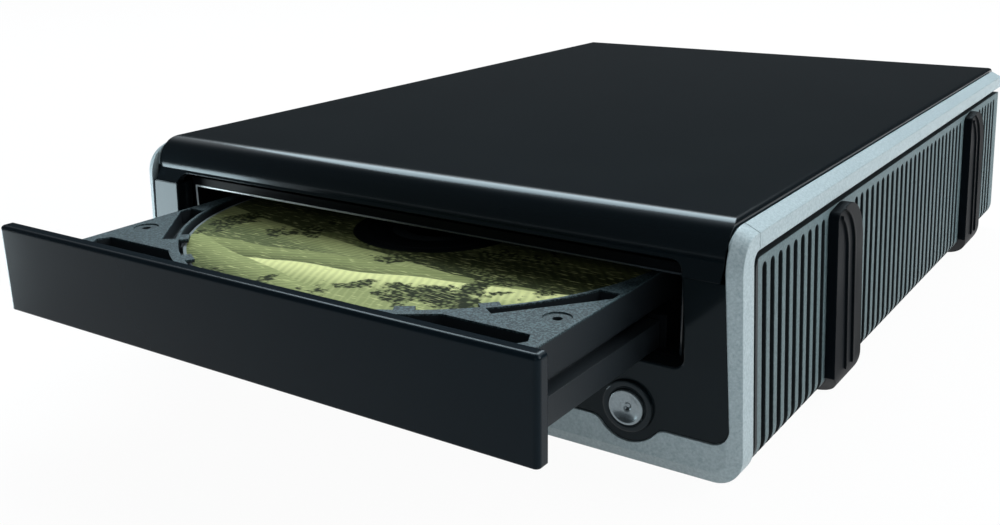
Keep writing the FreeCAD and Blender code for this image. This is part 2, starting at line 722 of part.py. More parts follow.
def make_front_panel():
    """Black panel round the tray opening, with the boss and guide for the eject button."""
    front = PANEL_RECESS
    back = front + PANEL_WALL
    top = PARTING_Z
    plate = border_cut(SEAM, front, back + SEAM).common(box(-FAR, FAR, 0, MECH_FRONT, 0, top))
    flange_y = SHELL_WALL + SEAM
    flange_z = BAND_Z - BORDER_R - OVER
    flange = body(flange_y).common(box(-FAR, FAR, flange_y, flange_y + PANEL_FLANGE, flange_z, top))
    reveal_back = flange_y + PANEL_FLANGE + REVEAL_DEPTH
    opening = opening_form(0, -OVER, reveal_back + OVER, SILL_Z, top + OVER)
    sill_edges = edge_spans(opening, lambda b: b.ZMax < SILL_Z + TOUCH and b.XLength < TOUCH)
    opening = opening.makeFillet(OPENING_LOW_R, sill_edges)
    wall = opening_form(REVEAL_WALL, front, reveal_back, SILL_Z - REVEAL_WALL, top)
    ring = tube_y(BUTTON_X, BUTTON_Z, front - RING_PROUD, back, RING_R)
    guide_back = flange_y + PANEL_FLANGE + GUIDE_LENGTH
    guide = tube_y(BUTTON_X, BUTTON_Z, flange_y, guide_back, GUIDE_R)
    panel = union([plate, flange, wall, ring, guide]).cut(opening)
    mouth_x = side_x(SILL_Z) - OPENING_INSET + TOUCH
    rim = edge_spans(panel, lambda b: b.YMax < front + TOUCH and b.ZMin > SILL_Z - TOUCH
                     and b.ZMax < top + TOUCH and max(-b.XMin, b.XMax) < mouth_x)
    rim = [edge for edge in rim if edge.BoundBox.ZMin < top - TOUCH]
    panel = panel.makeFillet(OPENING_EDGE_R, rim)
    pocket_back = front + BUTTON_CAP + BUTTON_TRAVEL - BUTTON_PROUD + RING_PROUD / 2
    panel = panel.cut(tube_y(BUTTON_X, BUTTON_Z, -FAR, pocket_back, BUTTON_R + BUTTON_CLEAR))
    panel = panel.cut(tube_y(BUTTON_X, BUTTON_Z, -FAR, guide_back + OVER, STEM_R + RUN_FIT))
    keep("front_panel", panel.removeSplitter())
    return guide_back


def make_button(guide_back):
    """Dished metal button with a dimple and a stem that reaches its switch."""
    face = PANEL_RECESS - BUTTON_PROUD
    cap_back = face + BUTTON_CAP
    cap = tube_y(BUTTON_X, BUTTON_Z, face, cap_back, BUTTON_R)
    rim = edge_spans(cap, lambda b: b.YMax < face + TOUCH)
    cap = cap.makeFillet(BUTTON_EDGE_R, rim)
    dish = Part.makeCone(BUTTON_R - BUTTON_RIM, DIMPLE_R, BUTTON_DISH, Vector(BUTTON_X, face, BUTTON_Z),
                         Vector(0, 1, 0))
    dimple = Part.makeSphere(DIMPLE_R, Vector(BUTTON_X, face + BUTTON_DISH, BUTTON_Z))
    stem_back = guide_back + STEM_PAST_GUIDE
    stem = tube_y(BUTTON_X, BUTTON_Z, cap_back, stem_back, STEM_R)
    keep("eject_button", union([cap.cut(dish).cut(dimple), stem]))
    return stem_back


def make_eject_switch(stem_back):
    """Push switch on a small upright board behind the button."""
    half = SWITCH_HALF
    front = stem_back + SWITCH_GAP + SWITCH_PLUNGER + BUTTON_TRAVEL
    back = front + SWITCH_BODY
    can = box(BUTTON_X - half, BUTTON_X + half, front, back, BUTTON_Z - half, BUTTON_Z + half)
    plunger = tube_y(BUTTON_X, BUTTON_Z, front - SWITCH_PLUNGER, front, SWITCH_PLUNGER_R)
    keep("eject_switch", union([can, plunger]))
    board = box(BUTTON_X - SWITCH_BOARD_REACH, LEG_X, back, back + BOARD_T, LOADER_Z0,
                BUTTON_Z + SWITCH_BOARD_TOP)
    keep("switch_board", board)


# Ribbed side panels


def slot_places():
    """Places along Y of every rib slot."""
    middle = FOOT_FRONT_Y + FOOT_WIDTH + SLOT_AFTER_FRONT_FOOT
    rear = FOOT_REAR_Y + FOOT_WIDTH + SLOT_AFTER_REAR_FOOT
    places = []
    for first, end in ((FRONT_SLOT_Y, FOOT_FRONT_Y), (middle, FOOT_REAR_Y - SLOT_PITCH),
                       (rear, PANEL_REAR - REAR_SLOT_MARGIN)):
        count = int((end - first) / SLOT_PITCH) + 1
        places += [first + i * SLOT_PITCH for i in range(count)]
    return places


def make_side_panels():
    """Ribbed side panels: a slotted skin above a set-back flange that the trim laps."""
    z0 = SHELL_Z0 + PANEL_SINK
    skin_y0 = LEG_DEPTH + PANEL_GAP
    inner_x = side_x(SHELL_Z0) - SHELL_CORNER_R - PANEL_FOOTING
    outer = body_section(-PANEL_SINK, z0, TRIM_Z, skin_y0, PANEL_REAR, SHELL_CORNER_R - PANEL_SINK)
    deep = PANEL_SINK + PANEL_SKIN
    inner = body_section(-deep, SHELL_Z0 + deep, TRIM_Z + 1, skin_y0 - 1, PANEL_REAR + 1,
                         SHELL_CORNER_R - deep)
    field = side_panel_field(PANEL_GAP)
    skin = outer.cut(inner).common(field).common(box(inner_x, FAR, 0, PANEL_REAR, 0, TRIM_Z))
    flange_out = body_section(-GAP_SINK, SHELL_Z0 + GAP_SINK, TRIM_Z, skin_y0 - PANEL_GAP - 1.5,
                              PANEL_REAR, SHELL_CORNER_R - GAP_SINK)
    flange_deep = GAP_SINK + FLANGE_SKIN
    flange_in = body_section(-flange_deep, SHELL_Z0 + flange_deep, TRIM_Z + 1, 0, PANEL_REAR + 1,
                             SHELL_CORNER_R - flange_deep)
    flange_top = RAIL_Z + 1.5
    flange = flange_out.cut(flange_in).common(box(inner_x, FAR, 0, PANEL_REAR, 0, flange_top))
    panel = skin.fuse(flange)
    slot_top = SIDE_TOP_Z - SLOT_HEADROOM
    cut_deep = PANEL_SINK + SLOT_CUT
    slot_body = body_section(0.5, SHELL_Z0 - 0.5, TRIM_Z, 0, PANEL_REAR, SHELL_CORNER_R + 0.5)
    core = body_section(-cut_deep, SHELL_Z0 + cut_deep, TRIM_Z + 1, -1, PANEL_REAR + 1,
                        SHELL_CORNER_R - cut_deep)
    slot_skin = slot_body.cut(core).common(box(inner_x + 4, FAR, 0, PANEL_REAR, -5, TRIM_Z))
    bars = []
    for y in slot_places():
        half = SLOT_WIDTH / 2
        bar = box(inner_x, FAR, y - half, y + half, -5, slot_top - half)
        cap = Part.makeCylinder(half, FAR - inner_x, Vector(inner_x, y, slot_top - half),
                                Vector(1, 0, 0))
        bars.append(bar.fuse(cap).removeSplitter())
    panel = panel.cut(slot_skin.common(group(bars)))
    keep("side_panel_right", panel)
    keep("side_panel_left", mirrored(panel))
    return inner_x


def side_panel_field(gap):
    """The panel's own outline in side view, with the same rounded corner as the trim."""
    y0 = LEG_DEPTH + gap
    solid = box(-FAR, FAR, y0, SHELL_DEPTH + 5, -5, SIDE_TOP_Z)
    edges = edge_spans(solid, lambda b: b.YMax < y0 + TOUCH and b.ZMin > SIDE_TOP_Z - TOUCH)
    return solid.makeFillet(RAIL_FOLD_R, edges)


# Rubber foot bands


def foot_outline(y0):
    """Side view of a foot band as a face: toe, large heel at the top, leaning rear edge, sole."""
    y1 = y0 + FOOT_WIDTH
    top = SIDE_TOP_Z
    heel = y1 - FOOT_HEEL_R
    toe_top = top - FOOT_SLOPE
    half_turn = math.sqrt(0.5)
    bulge = half_turn * FOOT_HEEL_R
    toe = half_turn * FOOT_TOE_R
    low_y = y1 + FOOT_LEAN
    low_r = FOOT_HEEL_LOW_R
    front_low = Vector(0, y0, FOOT_TOE_LIFT)
    front = Vector(0, y0, toe_top - FOOT_TOE_R)
    toe_mid = Vector(0, y0 + FOOT_TOE_R - toe, toe_top - FOOT_TOE_R + toe)
    toe_end = Vector(0, y0 + FOOT_TOE_R, toe_top)
    crest = Vector(0, heel, top)
    heel_mid = Vector(0, heel + bulge, top - FOOT_HEEL_R + bulge)
    rear = Vector(0, y1, top - FOOT_HEEL_R)
    rear_low = Vector(0, low_y, low_r)
    low_mid = Vector(0, low_y - low_r + half_turn * low_r, low_r - half_turn * low_r)
    sole_rear = Vector(0, low_y - low_r, 0)
    sole_front = Vector(0, y0 + FOOT_TOE_RUN, 0)
    edges = [
        Part.LineSegment(front_low, front).toShape(),
        Part.Arc(front, toe_mid, toe_end).toShape(),
        Part.LineSegment(toe_end, crest).toShape(),
        Part.Arc(crest, heel_mid, rear).toShape(),
        Part.LineSegment(rear, rear_low).toShape(),
        Part.Arc(rear_low, low_mid, sole_rear).toShape(),
        Part.LineSegment(sole_rear, sole_front).toShape(),
        Part.LineSegment(sole_front, front_low).toShape(),
    ]
    return Part.Face(Part.Wire(edges))


def make_feet():
    """Four rubber bands that wrap the lower edge, bulge from the side and stand on the desk."""
    inner_x = side_x(SHELL_Z0) - FOOT_UNDER
    panel_inner = side_x(SHELL_Z0) - SHELL_CORNER_R - PANEL_FOOTING
    panel_form = body_section(-PANEL_SINK, SHELL_Z0 + PANEL_SINK, TRIM_Z, 0, SHELL_DEPTH,
                              SHELL_CORNER_R - PANEL_SINK)
    outer = body_section(FOOT_PROUD, 0, TRIM_Z, 0, SHELL_DEPTH, FOOT_CORNER_R)
    ridge_grow = FOOT_PROUD + RIDGE_PROUD
    ridge_form = body_section(ridge_grow, 0, TRIM_Z, 0, SHELL_DEPTH, FOOT_CORNER_R + RIDGE_PROUD)
    base_space = box(-FAR, panel_inner, 0, SHELL_DEPTH, SHELL_Z0 + BASE_GAP - SEAM, TRIM_Z)
    for name, y0 in (("foot_front", FOOT_FRONT_Y), ("foot_rear", FOOT_REAR_Y)):
        block = foot_outline(y0).extrude(Vector(FAR - inner_x, 0, 0))
        block.translate(Vector(inner_x, 0, 0))
        foot = outer.common(block).cut(panel_form).cut(base_space)
        for i in range(1, RIDGES + 1):
            shift = RIDGE_STEP * i + 1.5 * RIDGE_WIDTH
            ridge = block.copy()
            ridge.translate(Vector(0, -shift, 0))
            behind = block.copy()
            behind.translate(Vector(0, -shift - RIDGE_WIDTH, 0))
            bead = ridge.cut(behind).common(block).common(ridge_form).cut(panel_form)
            bead = bead.common(box(-FAR, FAR, y0 + FOOT_TOE_R, y0 + FOOT_WIDTH + FOOT_LEAN,
                                   SHELL_Z0 + RIDGE_END, TRIM_Z))
            foot = foot.fuse(bead)
        foot = foot.removeSplitter()
        keep(name + "_right", foot)
        keep(name + "_left", mirrored(foot))


# Base plate and rear panel


def make_base(panel_inner_x):
    """Flat base between the side panels, with bosses under the mechanism and the boards."""
    half = panel_inner_x - SEAM
    z0 = SHELL_Z0 + BASE_GAP
    z1 = z0 + BASE_WALL
    plate = box(-half, half, LEG_DEPTH + SEAM, SHELL_DEPTH - REAR_INSET, z0, z1)
    tongue_y = SHELL_WALL + PANEL_FLANGE + 2 * SEAM
    tongue_z = SHELL_Z0 + SHELL_WALL
    tongue = box(-half, half, tongue_y, LEG_DEPTH + 3, tongue_z, tongue_z + TONGUE_T)
    bosses = []
    for x, y in case_screw_places():
        bosses.append(tube_z(x, y, z1, MECH_Z0, CASE_BOSS_R, SCREW_SHANK_R + RUN_FIT))
    for x, y in board_screw_places():
        bosses.append(tube_z(x, y, z1, bridge_board_z(), BOARD_BOSS_R, SCREW_SHANK_R + RUN_FIT))
    base = union([plate, tongue] + bosses)
    for x, y in case_screw_places():
        base = base.cut(tube_z(x, y, z0 - OVER, z1 + OVER, SCREW_SHANK_R + RUN_FIT))
        base = base.cut(tube_z(x, y, z0 - OVER, z0 + SCREW_HEAD_H + 2 * RUN_FIT,
                               SCREW_HEAD_R + HEAD_CLEAR))
    keep("base_plate", base)
    return z0


def case_screw_places():
    """The four screws that hold the mechanism case on the base."""
    side = MECH_HALF - CASE_SCREW_SIDE
    ends = (MECH_FRONT + CASE_SCREW_FRONT, MECH_REAR - CASE_SCREW_REAR)
    return [(x, y) for x in (-side, side) for y in ends]


def bridge_board_z():
    """Underside of the bridge board."""
    return SHELL_Z0 + BRIDGE_BOARD_RISE


def board_screw_places():
    """The four corners where the bridge board is screwed down."""
    y0 = BRIDGE_BOARD_FRONT + BOARD_SCREW_INSET
    y1 = bridge_board_rear() - BOARD_SCREW_INSET
    ends = (BRIDGE_BOARD_LEFT + BOARD_SCREW_INSET, BRIDGE_BOARD_RIGHT - BOARD_SCREW_INSET)
    return [(x, y) for x in ends for y in (y0, y1)]


def bridge_board_rear():
    """Rear edge of the bridge board, just in front of the rear panel."""
    return SHELL_DEPTH - REAR_INSET - REAR_WALL - BRIDGE_BOARD_TAIL


def port_z():
    """Underside of the rear sockets, which sit on the bridge board."""
    return bridge_board_z() + BOARD_T


def make_rear_panel():
    """Rear panel with its socket cut-outs and a row of vents."""
    y1 = SHELL_DEPTH - REAR_INSET
    y0 = y1 - REAR_WALL
    deep = GAP_SINK + FLANGE_SKIN + SEAM
    base_z1 = SHELL_Z0 + BASE_GAP + BASE_WALL
    skirt_z = COVER_Z - SKIRT_DROP - SEAM
    z1 = COVER_Z - COVER_WALL - SEAM
    low = body_section(-deep, SHELL_Z0 + deep, skirt_z, y0, y1, SHELL_CORNER_R - deep)
    foot_half = side_x(SHELL_Z0) - SHELL_CORNER_R - PANEL_FOOTING - SEAM
    foot = box(-foot_half, foot_half, y0, y1, base_z1, SHELL_Z0 + deep + 1)
    high_half = COVER_HALF - COVER_WALL - SEAM
    high = box(-high_half, high_half, y0, y1, skirt_z - 2, z1)
    panel = union([low, foot, high])
    z = port_z()
    cuts = [
        port_cut(USB_X, USB_WIDTH, z, USB_HEIGHT),
        port_cut(JACK_X, JACK_WIDTH, z, JACK_HEIGHT),
        port_cut(SWITCH_X, SWITCH_WIDTH, z, SWITCH_HEIGHT),
    ]
    vent_z = z1 - VENT_HEIGHT - VENT_DROP
    first = -(VENT_COUNT - 1) / 2.0 * VENT_PITCH
    for i in range(VENT_COUNT):
        x = first + i * VENT_PITCH
        cuts.append(box(x - VENT_WIDTH / 2, x + VENT_WIDTH / 2, y0 - 1, y1 + 1, vent_z,
                        vent_z + VENT_HEIGHT))
    keep("rear_panel", panel.cut(group(cuts)))


def port_cut(x, width, z, height):
    """The hole in the rear panel for one socket."""
    half = width / 2 + PORT_FIT
    y1 = SHELL_DEPTH - REAR_INSET
    return box(x - half, x + half, y1 - REAR_WALL - 1, y1 + 1, z - PORT_FIT, z + height + PORT_FIT)


# Mechanism case


def make_mech_case():
    """Folded steel case of the disc mechanism: an open-fronted tub and its lid."""
    z1 = MECH_Z1
    lid_z = z1 - SHEET
    tub = box(-MECH_HALF, MECH_HALF, MECH_FRONT, MECH_REAR, MECH_Z0, lid_z)
    hollow = box(-MECH_HALF + SHEET, MECH_HALF - SHEET, MECH_FRONT - 1, MECH_REAR - SHEET,
                 MECH_Z0 + SHEET, lid_z + 1)
    tub = tub.cut(hollow)
    plug_x0, plug_x1, plug_z0, plug_z1 = connector_window()
    tub = tub.cut(box(plug_x0, plug_x1, MECH_REAR - 2, MECH_REAR + 1, plug_z0, plug_z1))
    for x, y in case_screw_places():
        tub = tub.cut(tube_z(x, y, MECH_Z0 - OVER, MECH_Z0 + SHEET + OVER, SCREW_SHANK_R + RUN_FIT))
    tub = tub.cut(group(side_holes()))
    keep("mechanism_tub", tub)
    lid = box(-MECH_HALF, MECH_HALF, MECH_FRONT, MECH_REAR, lid_z, z1)
    flap_x = MECH_HALF + FLAP_GAP
    y0 = MECH_FRONT + FLAP_INSET
    y1 = MECH_REAR - FLAP_INSET
    flap = box(flap_x, flap_x + SHEET, y0, y1, lid_z - FLAP_DROP, z1)
    lip = box(MECH_HALF - SHEET, flap_x + SHEET, y0, y1, lid_z, z1)
    keep("mechanism_lid", union([lid, flap, lip, mirrored(flap), mirrored(lip)]))


def connector_window():
    """Window in the back of the case for the data and power connector."""
    z = bridge_board_z() + BOARD_T + 0.4
    return PLUG_LEFT, PLUG_RIGHT, z - 0.4, z + PLUG_HEIGHT


def side_holes():
    """Threaded holes along both side walls of the case."""
    holes = []
    for back in SIDE_HOLES:
        holes.append(pin_x(0, MECH_FRONT + back, MECH_Z0 + SIDE_HOLE_RISE, 2 * FAR, SCREW_SHANK_R))
    return holes


# Loader frame


def loader_side():
    """Right-hand side of the loader frame: outer wall, guide ledges and the tray's guide wall."""
    y0 = MECH_FRONT + 0.3
    y1 = LOADER_FRONT + LOADER_LENGTH
    outer_x = MECH_HALF - SHEET - 0.1
    inner_x = RAIL_HALF + GUIDE_FIT
    ledge_top = TRAY_RAIL_Z0 - GUIDE_FIT
    ledge = box(RAIL_HALF - 3.0, outer_x, y0, y1, ledge_top - GUIDE_LEDGE, ledge_top)
    leg = box(LEG_X, LEG_X + LOADER_WALL, y0, y1, LOADER_Z0, ledge_top)
    guide = box(inner_x, inner_x + 1.6, y0, y1, ledge_top - 0.5, TRAY_RAIL_Z1 + 1.6)
    keeper_z = TRAY_RAIL_Z1 + GUIDE_FIT
    keeper = box(PLATE_HALF - 0.8, inner_x + 1.6, y0, y1, keeper_z,
                 min(keeper_z + 1.2, TRAY_Z - GROOVE_FROM - 0.3))
    outer = box(outer_x - 1.5, outer_x, y0, y1, ledge_top - 1, BRIDGE_Z0)
    return union([ledge, leg, guide, keeper, outer])


def make_loader_frame():
    """Moulded frame inside the case: side guides, front ring and the gear deck."""
    y0 = LOADER_FRONT
    side = loader_side()
    outer_x = MECH_HALF - SHEET - 0.1
    ring_top = TRAY_Z + RING_TOP
    front_top = MECH_Z1 - SHEET - 1.2
    ring = box(-outer_x, outer_x, y0, y0 + RING_T, LOADER_Z0, front_top)
    mouth = box(-RING_HALF, RING_HALF, y0 - 1, y0 + RING_T + 1, TRAY_RAIL_Z0 - GUIDE_FIT, ring_top)
    notch_r = GUIDE_R + 1.5
    notch = box(BUTTON_X - notch_r, BUTTON_X + notch_r, y0 - 1, y0 + RING_T + 1, LOADER_Z0 + 1,
                BUTTON_Z + notch_r)
    ring = ring.cut([mouth, notch])
    deck = box(-LEG_X - 0.5, DECK_RIGHT, y0 + 1, y0 + DECK_DEPTH, DECK_Z0, DECK_Z1)
    pivot_y = TRAVERSE_Y1 + 6
    bar = box(-LEG_X - 0.5, LEG_X + 0.5, pivot_y, pivot_y + 4, CRADLE_Z0 - 1.0, CRADLE_Z1 + 1.5)
    lugs = [box(x - 2, x + 2, pivot_y - 4, pivot_y + 1, CRADLE_Z1 + 0.1, CRADLE_Z1 + 1.5)
            for x in (-CRADLE_HALF + 8, CRADLE_HALF - 8)]
    frame = union([side, mirrored(side), ring, deck, bar] + lugs)
    frame = frame.cut(tube_z(MOTOR_X, GEAR_Y, DECK_Z0 - 1, DECK_Z1 + 1, MOTOR_SHAFT_R + 1.0))
    pins = [
        tube_z(TRAY_GEAR_X, GEAR_Y, DECK_Z1 - 0.5, RACK_Z0 + RACK_HEIGHT + 0.3, AXLE_R),
        tube_z(BELT_PULLEY_X, GEAR_Y, DECK_Z1 - 0.5, WHEEL_Z0 + GEAR_FACE + 1.4, AXLE_R),
    ]
    shoulder = tube_z(TRAY_GEAR_X, GEAR_Y, DECK_Z1 - 0.5, WHEEL_Z0 - 0.1, AXLE_R + 1.5)
    washer = tube_z(BELT_PULLEY_X, GEAR_Y, DECK_Z1 - 0.5, PULLEY_Z0 - 0.1, AXLE_R + 1.5)
    frame = union([frame, shoulder, washer] + pins)
    keep("loader_frame", frame)
    return pivot_y


# Loading gears


def tooth_flank(radius, module, lead):
    """Radius and half angle along one tooth flank, from root to tip, for a 20 degree tooth."""
    base = radius * math.cos(math.radians(20))
    pitch_inv = math.tan(math.radians(20)) - math.radians(20)
    half_pitch = lead / radius
    flank = []
    for share in (-0.95, -0.45, 0.0, 0.45, 0.92):
        r = radius + share * module
        if r <= base:
            flank.append((r, half_pitch + pitch_inv))
            continue
        slant = math.acos(base / r)
        flank.append((r, half_pitch + pitch_inv - (math.tan(slant) - slant)))
    return flank


def gear_wheel(x, y, z0, z1, teeth, module, bore, tooth_at):
    """Spur gear standing along Z, with a tooth centred on the angle tooth_at in degrees."""
    radius = teeth * module / 2.0
    lead = math.pi * module / 4.0 - BACKLASH / 2.0
    flank = tooth_flank(radius, module, lead)
    root = radius - 1.25 * module
    points = []
    for i in range(teeth):
        middle = math.radians(tooth_at) + 2 * math.pi * i / teeth
        rising = [(root, flank[0][1])] + flank
        for r, half in rising:
            points.append((x + r * math.cos(middle - half), y + r * math.sin(middle - half)))
        for r, half in reversed(rising):
            points.append((x + r * math.cos(middle + half), y + r * math.sin(middle + half)))
    wheel = prism_z(points, z0, z1)
    return wheel.cut(tube_z(x, y, z0 - 1, z1 + 1, bore))


def make_gears():
    """Belt pulley with its pinion, and the tray gear that meshes with the tray's rack."""
    bore = AXLE_R + RUN_FIT
    wheel_z1 = WHEEL_Z0 + GEAR_FACE
    half_tooth = 180.0 / TRAY_WHEEL_TEETH
    wheel = gear_wheel(TRAY_GEAR_X, GEAR_Y, WHEEL_Z0, wheel_z1, TRAY_WHEEL_TEETH, TRAIN_MODULE,
                       bore, half_tooth)
    top_z = RACK_Z0 + RACK_HEIGHT
    upper = gear_wheel(TRAY_GEAR_X, GEAR_Y, wheel_z1, top_z, TRAY_GEAR_TEETH, RACK_MODULE, bore,
                       180.0)
    keep("tray_gear", wheel.fuse(upper).removeSplitter())
    pinion = gear_wheel(BELT_PULLEY_X, GEAR_Y, WHEEL_Z0 - 0.3, wheel_z1 + 0.4, PINION_TEETH,
                        TRAIN_MODULE, bore, 180.0)
    pulley = grooved_pulley(BELT_PULLEY_X, BELT_PULLEY_R, bore)
    collar = tube_z(BELT_PULLEY_X, GEAR_Y, PULLEY_Z0 + PULLEY_T, WHEEL_Z0 - 0.3, PINION_R - 1, bore)
    keep("belt_pulley", union([pulley, collar, pinion]))


def grooved_pulley(x, radius, bore):
    """Pulley with a round groove at half its thickness."""
    pulley = tube_z(x, GEAR_Y, PULLEY_Z0, PULLEY_Z0 + PULLEY_T, radius)
    middle = PULLEY_Z0 + PULLEY_T / 2.0
    groove = Part.makeTorus(radius + BELT_T / 4.0, BELT_T / 2.0 + BELT_CLEAR, Vector(x, GEAR_Y, middle))
    pulley = pulley.cut(groove)
    if bore > 0:
        pulley = pulley.cut(tube_z(x, GEAR_Y, PULLEY_Z0 - 1, PULLEY_Z0 + PULLEY_T + 1, bore))
    return pulley


def make_loading_motor():
    """Loading motor under the deck, its pulley on the shaft, and the belt."""
    body_z0 = MECH_Z0 + SHEET
    can = tube_z(MOTOR_X, GEAR_Y, body_z0, DECK_Z0, LOAD_MOTOR_R)
    can = can.cut(tube_z(MOTOR_X, GEAR_Y, DECK_Z0 - 4, DECK_Z0 + 1, MOTOR_SHAFT_R + RUN_FIT))
    keep("loading_motor", can)
    pulley = grooved_pulley(MOTOR_X, MOTOR_PULLEY_R, 0)
    shaft = tube_z(MOTOR_X, GEAR_Y, DECK_Z0 - 3.5, PULLEY_Z0, MOTOR_SHAFT_R)
    keep("motor_pulley", union([pulley, shaft]))
    keep("drive_belt", make_belt())


def make_belt():
    """Round belt on the two pulleys, lying in both grooves."""
    z = PULLEY_Z0 + PULLEY_T / 2.0
    big = BELT_PULLEY_R + BELT_T / 4.0
    small = MOTOR_PULLEY_R + BELT_T / 4.0
    lean = math.asin((big - small) / BELT_SPAN)
    angle = math.pi / 2 - lean
    big_c = Vector(BELT_PULLEY_X, GEAR_Y, z)
    small_c = Vector(MOTOR_X, GEAR_Y, z)

    def on(centre, radius, turn):
        return centre + Vector(radius * math.cos(turn), radius * math.sin(turn), 0)

    upper_big = on(big_c, big, angle)
    upper_small = on(small_c, small, angle)
    lower_big = on(big_c, big, -angle)
    lower_small = on(small_c, small, -angle)
    path = Part.Wire([
        Part.LineSegment(upper_big, upper_small).toShape(),
        Part.Arc(upper_small, on(small_c, small, 0), lower_small).toShape(),
        Part.LineSegment(lower_small, lower_big).toShape(),
        Part.Arc(lower_big, on(big_c, big, math.pi), upper_big).toShape(),
    ])
    middle = (upper_big + upper_small) * 0.5
    section = Part.Wire(Part.makeCircle(BELT_T / 2.0, middle, upper_small - upper_big))
    start = Part.Wire([
        Part.LineSegment(middle, upper_small).toShape(),
        path.Edges[1], path.Edges[2], path.Edges[3],
        Part.LineSegment(upper_big, middle).toShape(),
    ])
    return start.makePipeShell([section], True, False)


# Disc tray and door


def ring_sector(r_in, r_out, from_deg, to_deg, z0, z1):
    """Part of a ring round the disc centre, between two angles."""
    span = to_deg - from_deg
    start = Vector(math.cos(math.radians(from_deg)), math.sin(math.radians(from_deg)), 0)
    centre = Vector(0, DISC_Y, z0)
    profile = Part.Face(Part.makePolygon([
        centre + start * r_in, centre + start * r_out,
        centre + start * r_out + Vector(0, 0, z1 - z0),
        centre + start * r_in + Vector(0, 0, z1 - z0), centre + start * r_in]))
    return profile.revolve(Vector(0, DISC_Y, z0), Vector(0, 0, 1), span)


def pocket_outline(grow):
    """Right-hand finger pocket in plan, before the disc well's wall is taken out of it."""
    rear = DISC_Y - DISC_R + POCKET_REAR_IN + grow
    front = DISC_Y - DISC_R + POCKET_FRONT_IN - grow
    outer = DISC_R - POCKET_SIDE_IN + grow
    inner = POCKET_INNER_X - grow
    return [(inner, front), (outer - POCKET_FRONT_CUT, front), (outer, rear - POCKET_REAR_CUT),
            (outer - POCKET_REAR_STEP, rear), (inner, rear)]


def corner_slot():
    """Slot beside the disc well at the tray's right corner, with a straight outer side."""
    outer = PLATE_HALF - CORNER_SLOT_EDGE
    start_x = DISC_R + CORNER_SLOT_START[0]
    start_y = DISC_Y - CORNER_SLOT_START[1]
    end_y = DISC_Y - CORNER_SLOT_END
    outline = [(start_x, start_y), (outer, DISC_Y - CORNER_SLOT_TURN), (outer, end_y),
               (start_x, end_y), (start_x - (outer - start_x) / 2, start_y + (end_y - start_y) / 4)]
    slot = prism_z(outline, TRAY_Z - CORNER_SLOT_DEPTH, TRAY_Z + OVER)
    return slot.cut(tube_z(0, DISC_Y, 0, TRAY_Z + 2 * OVER, WELL_R + CORNER_SLOT_RIM))


def make_tray():
    """Sliding disc tray with its well, finger pockets, side rails and rack."""
    slab = box(-PLATE_HALF, PLATE_HALF, TRAY_FRONT, TRAY_REAR, SLAB_Z, TRAY_Z)
    groove_x = PLATE_HALF - GROOVE_CUT
    skirt = box(PLATE_HALF - TRAY_SKIRT_T, PLATE_HALF, TRAY_FRONT, TRAY_REAR, TRAY_Z - GROOVE_FROM, SLAB_Z)
    neck_x = groove_x - TRAY_NECK_T
    web_z = TRAY_RAIL_Z1 - TRAY_WEB_T
    neck = box(neck_x, groove_x, TRAY_FRONT, TRAY_REAR, web_z, SLAB_Z)
    rail = box(RAIL_HALF - TRAY_RAIL_WIDTH, RAIL_HALF, TRAY_FRONT, TRAY_REAR, TRAY_RAIL_Z0,
               TRAY_RAIL_Z1)
    web = box(neck_x, RAIL_HALF - OVER, TRAY_FRONT, TRAY_REAR, web_z, TRAY_RAIL_Z1)
    beam = box(-RAIL_HALF, RAIL_HALF, TRAY_FRONT, TRAY_FRONT + TRAY_BEAM_T, TRAY_RAIL_Z0 + OVER, TRAY_Z)
    floor_z = TRAY_Z - POCKET_DEPTH
    wall = prism_z(pocket_outline(POCKET_WALL), floor_z - POCKET_WALL, TRAY_Z)
    side = [skirt, neck, rail, web, wall]
    rack_back = box(-RACK_PITCH_X - RACK_BODY, -RACK_PITCH_X - 1.2 * RACK_MODULE,
                    TRAY_FRONT + TRAY_BEAM_T, TRAY_REAR, RACK_Z0, SLAB_Z)
    tray = union([slab, beam, rack_back] + side + [mirrored(s) for s in side])
    tray = tray.cut(tube_z(0, DISC_Y, DISC_Z, TRAY_Z + 1, WELL_R))
    tray = tray.cut(tube_z(0, DISC_Y, DISC_Z - SMALL_WELL_DEPTH, TRAY_Z + 1, SMALL_WELL_R))
    rim = tube_z(0, DISC_Y, 0, TRAY_Z + 2, WELL_R + RIM_WALL)
    pocket = prism_z(pocket_outline(0), floor_z, TRAY_Z + 1).cut(rim)
    window_rear = DISC_Y + DISC_R + WINDOW_PAST_DISC
    outside_half = box(-WINDOW_HALF, WINDOW_HALF, DISC_Y, window_rear, 0, TRAY_Z + OVER)
    window = outside_half.fuse(tube_z(0, DISC_Y, 0, TRAY_Z + 1, WINDOW_HALF))
    cuts = [pocket, mirrored(pocket), window]
    cuts += both_sides(corner_slot())
    for side in (-1, 1):
        x = side * (DISC_R - DIMPLE_IN)
        y = DISC_Y - DIMPLE_FORE
        cuts.append(tube_z(x, y, TRAY_Z - TRAY_DIMPLE_DEPTH, TRAY_Z + OVER, TRAY_DIMPLE_R))
        cuts.append(tube_z(x, y, TRAY_Z - TRAY_DIMPLE_HOLE_DEPTH, TRAY_Z + OVER, TRAY_DIMPLE_HOLE_R))
    tray = tray.cut(cuts)
    tabs = [ring_sector(WELL_R - TAB_REACH, WELL_R + TAB_ROOT, -angle - TAB_HALF_ANGLE,
                        -angle + TAB_HALF_ANGLE, TRAY_Z - TAB_T, TRAY_Z) for angle in TAB_ANGLES]
    tabs += [mirrored(tab) for tab in tabs]
    tray = union([tray] + tabs + [make_rack()])
    keep("disc_tray", tray)


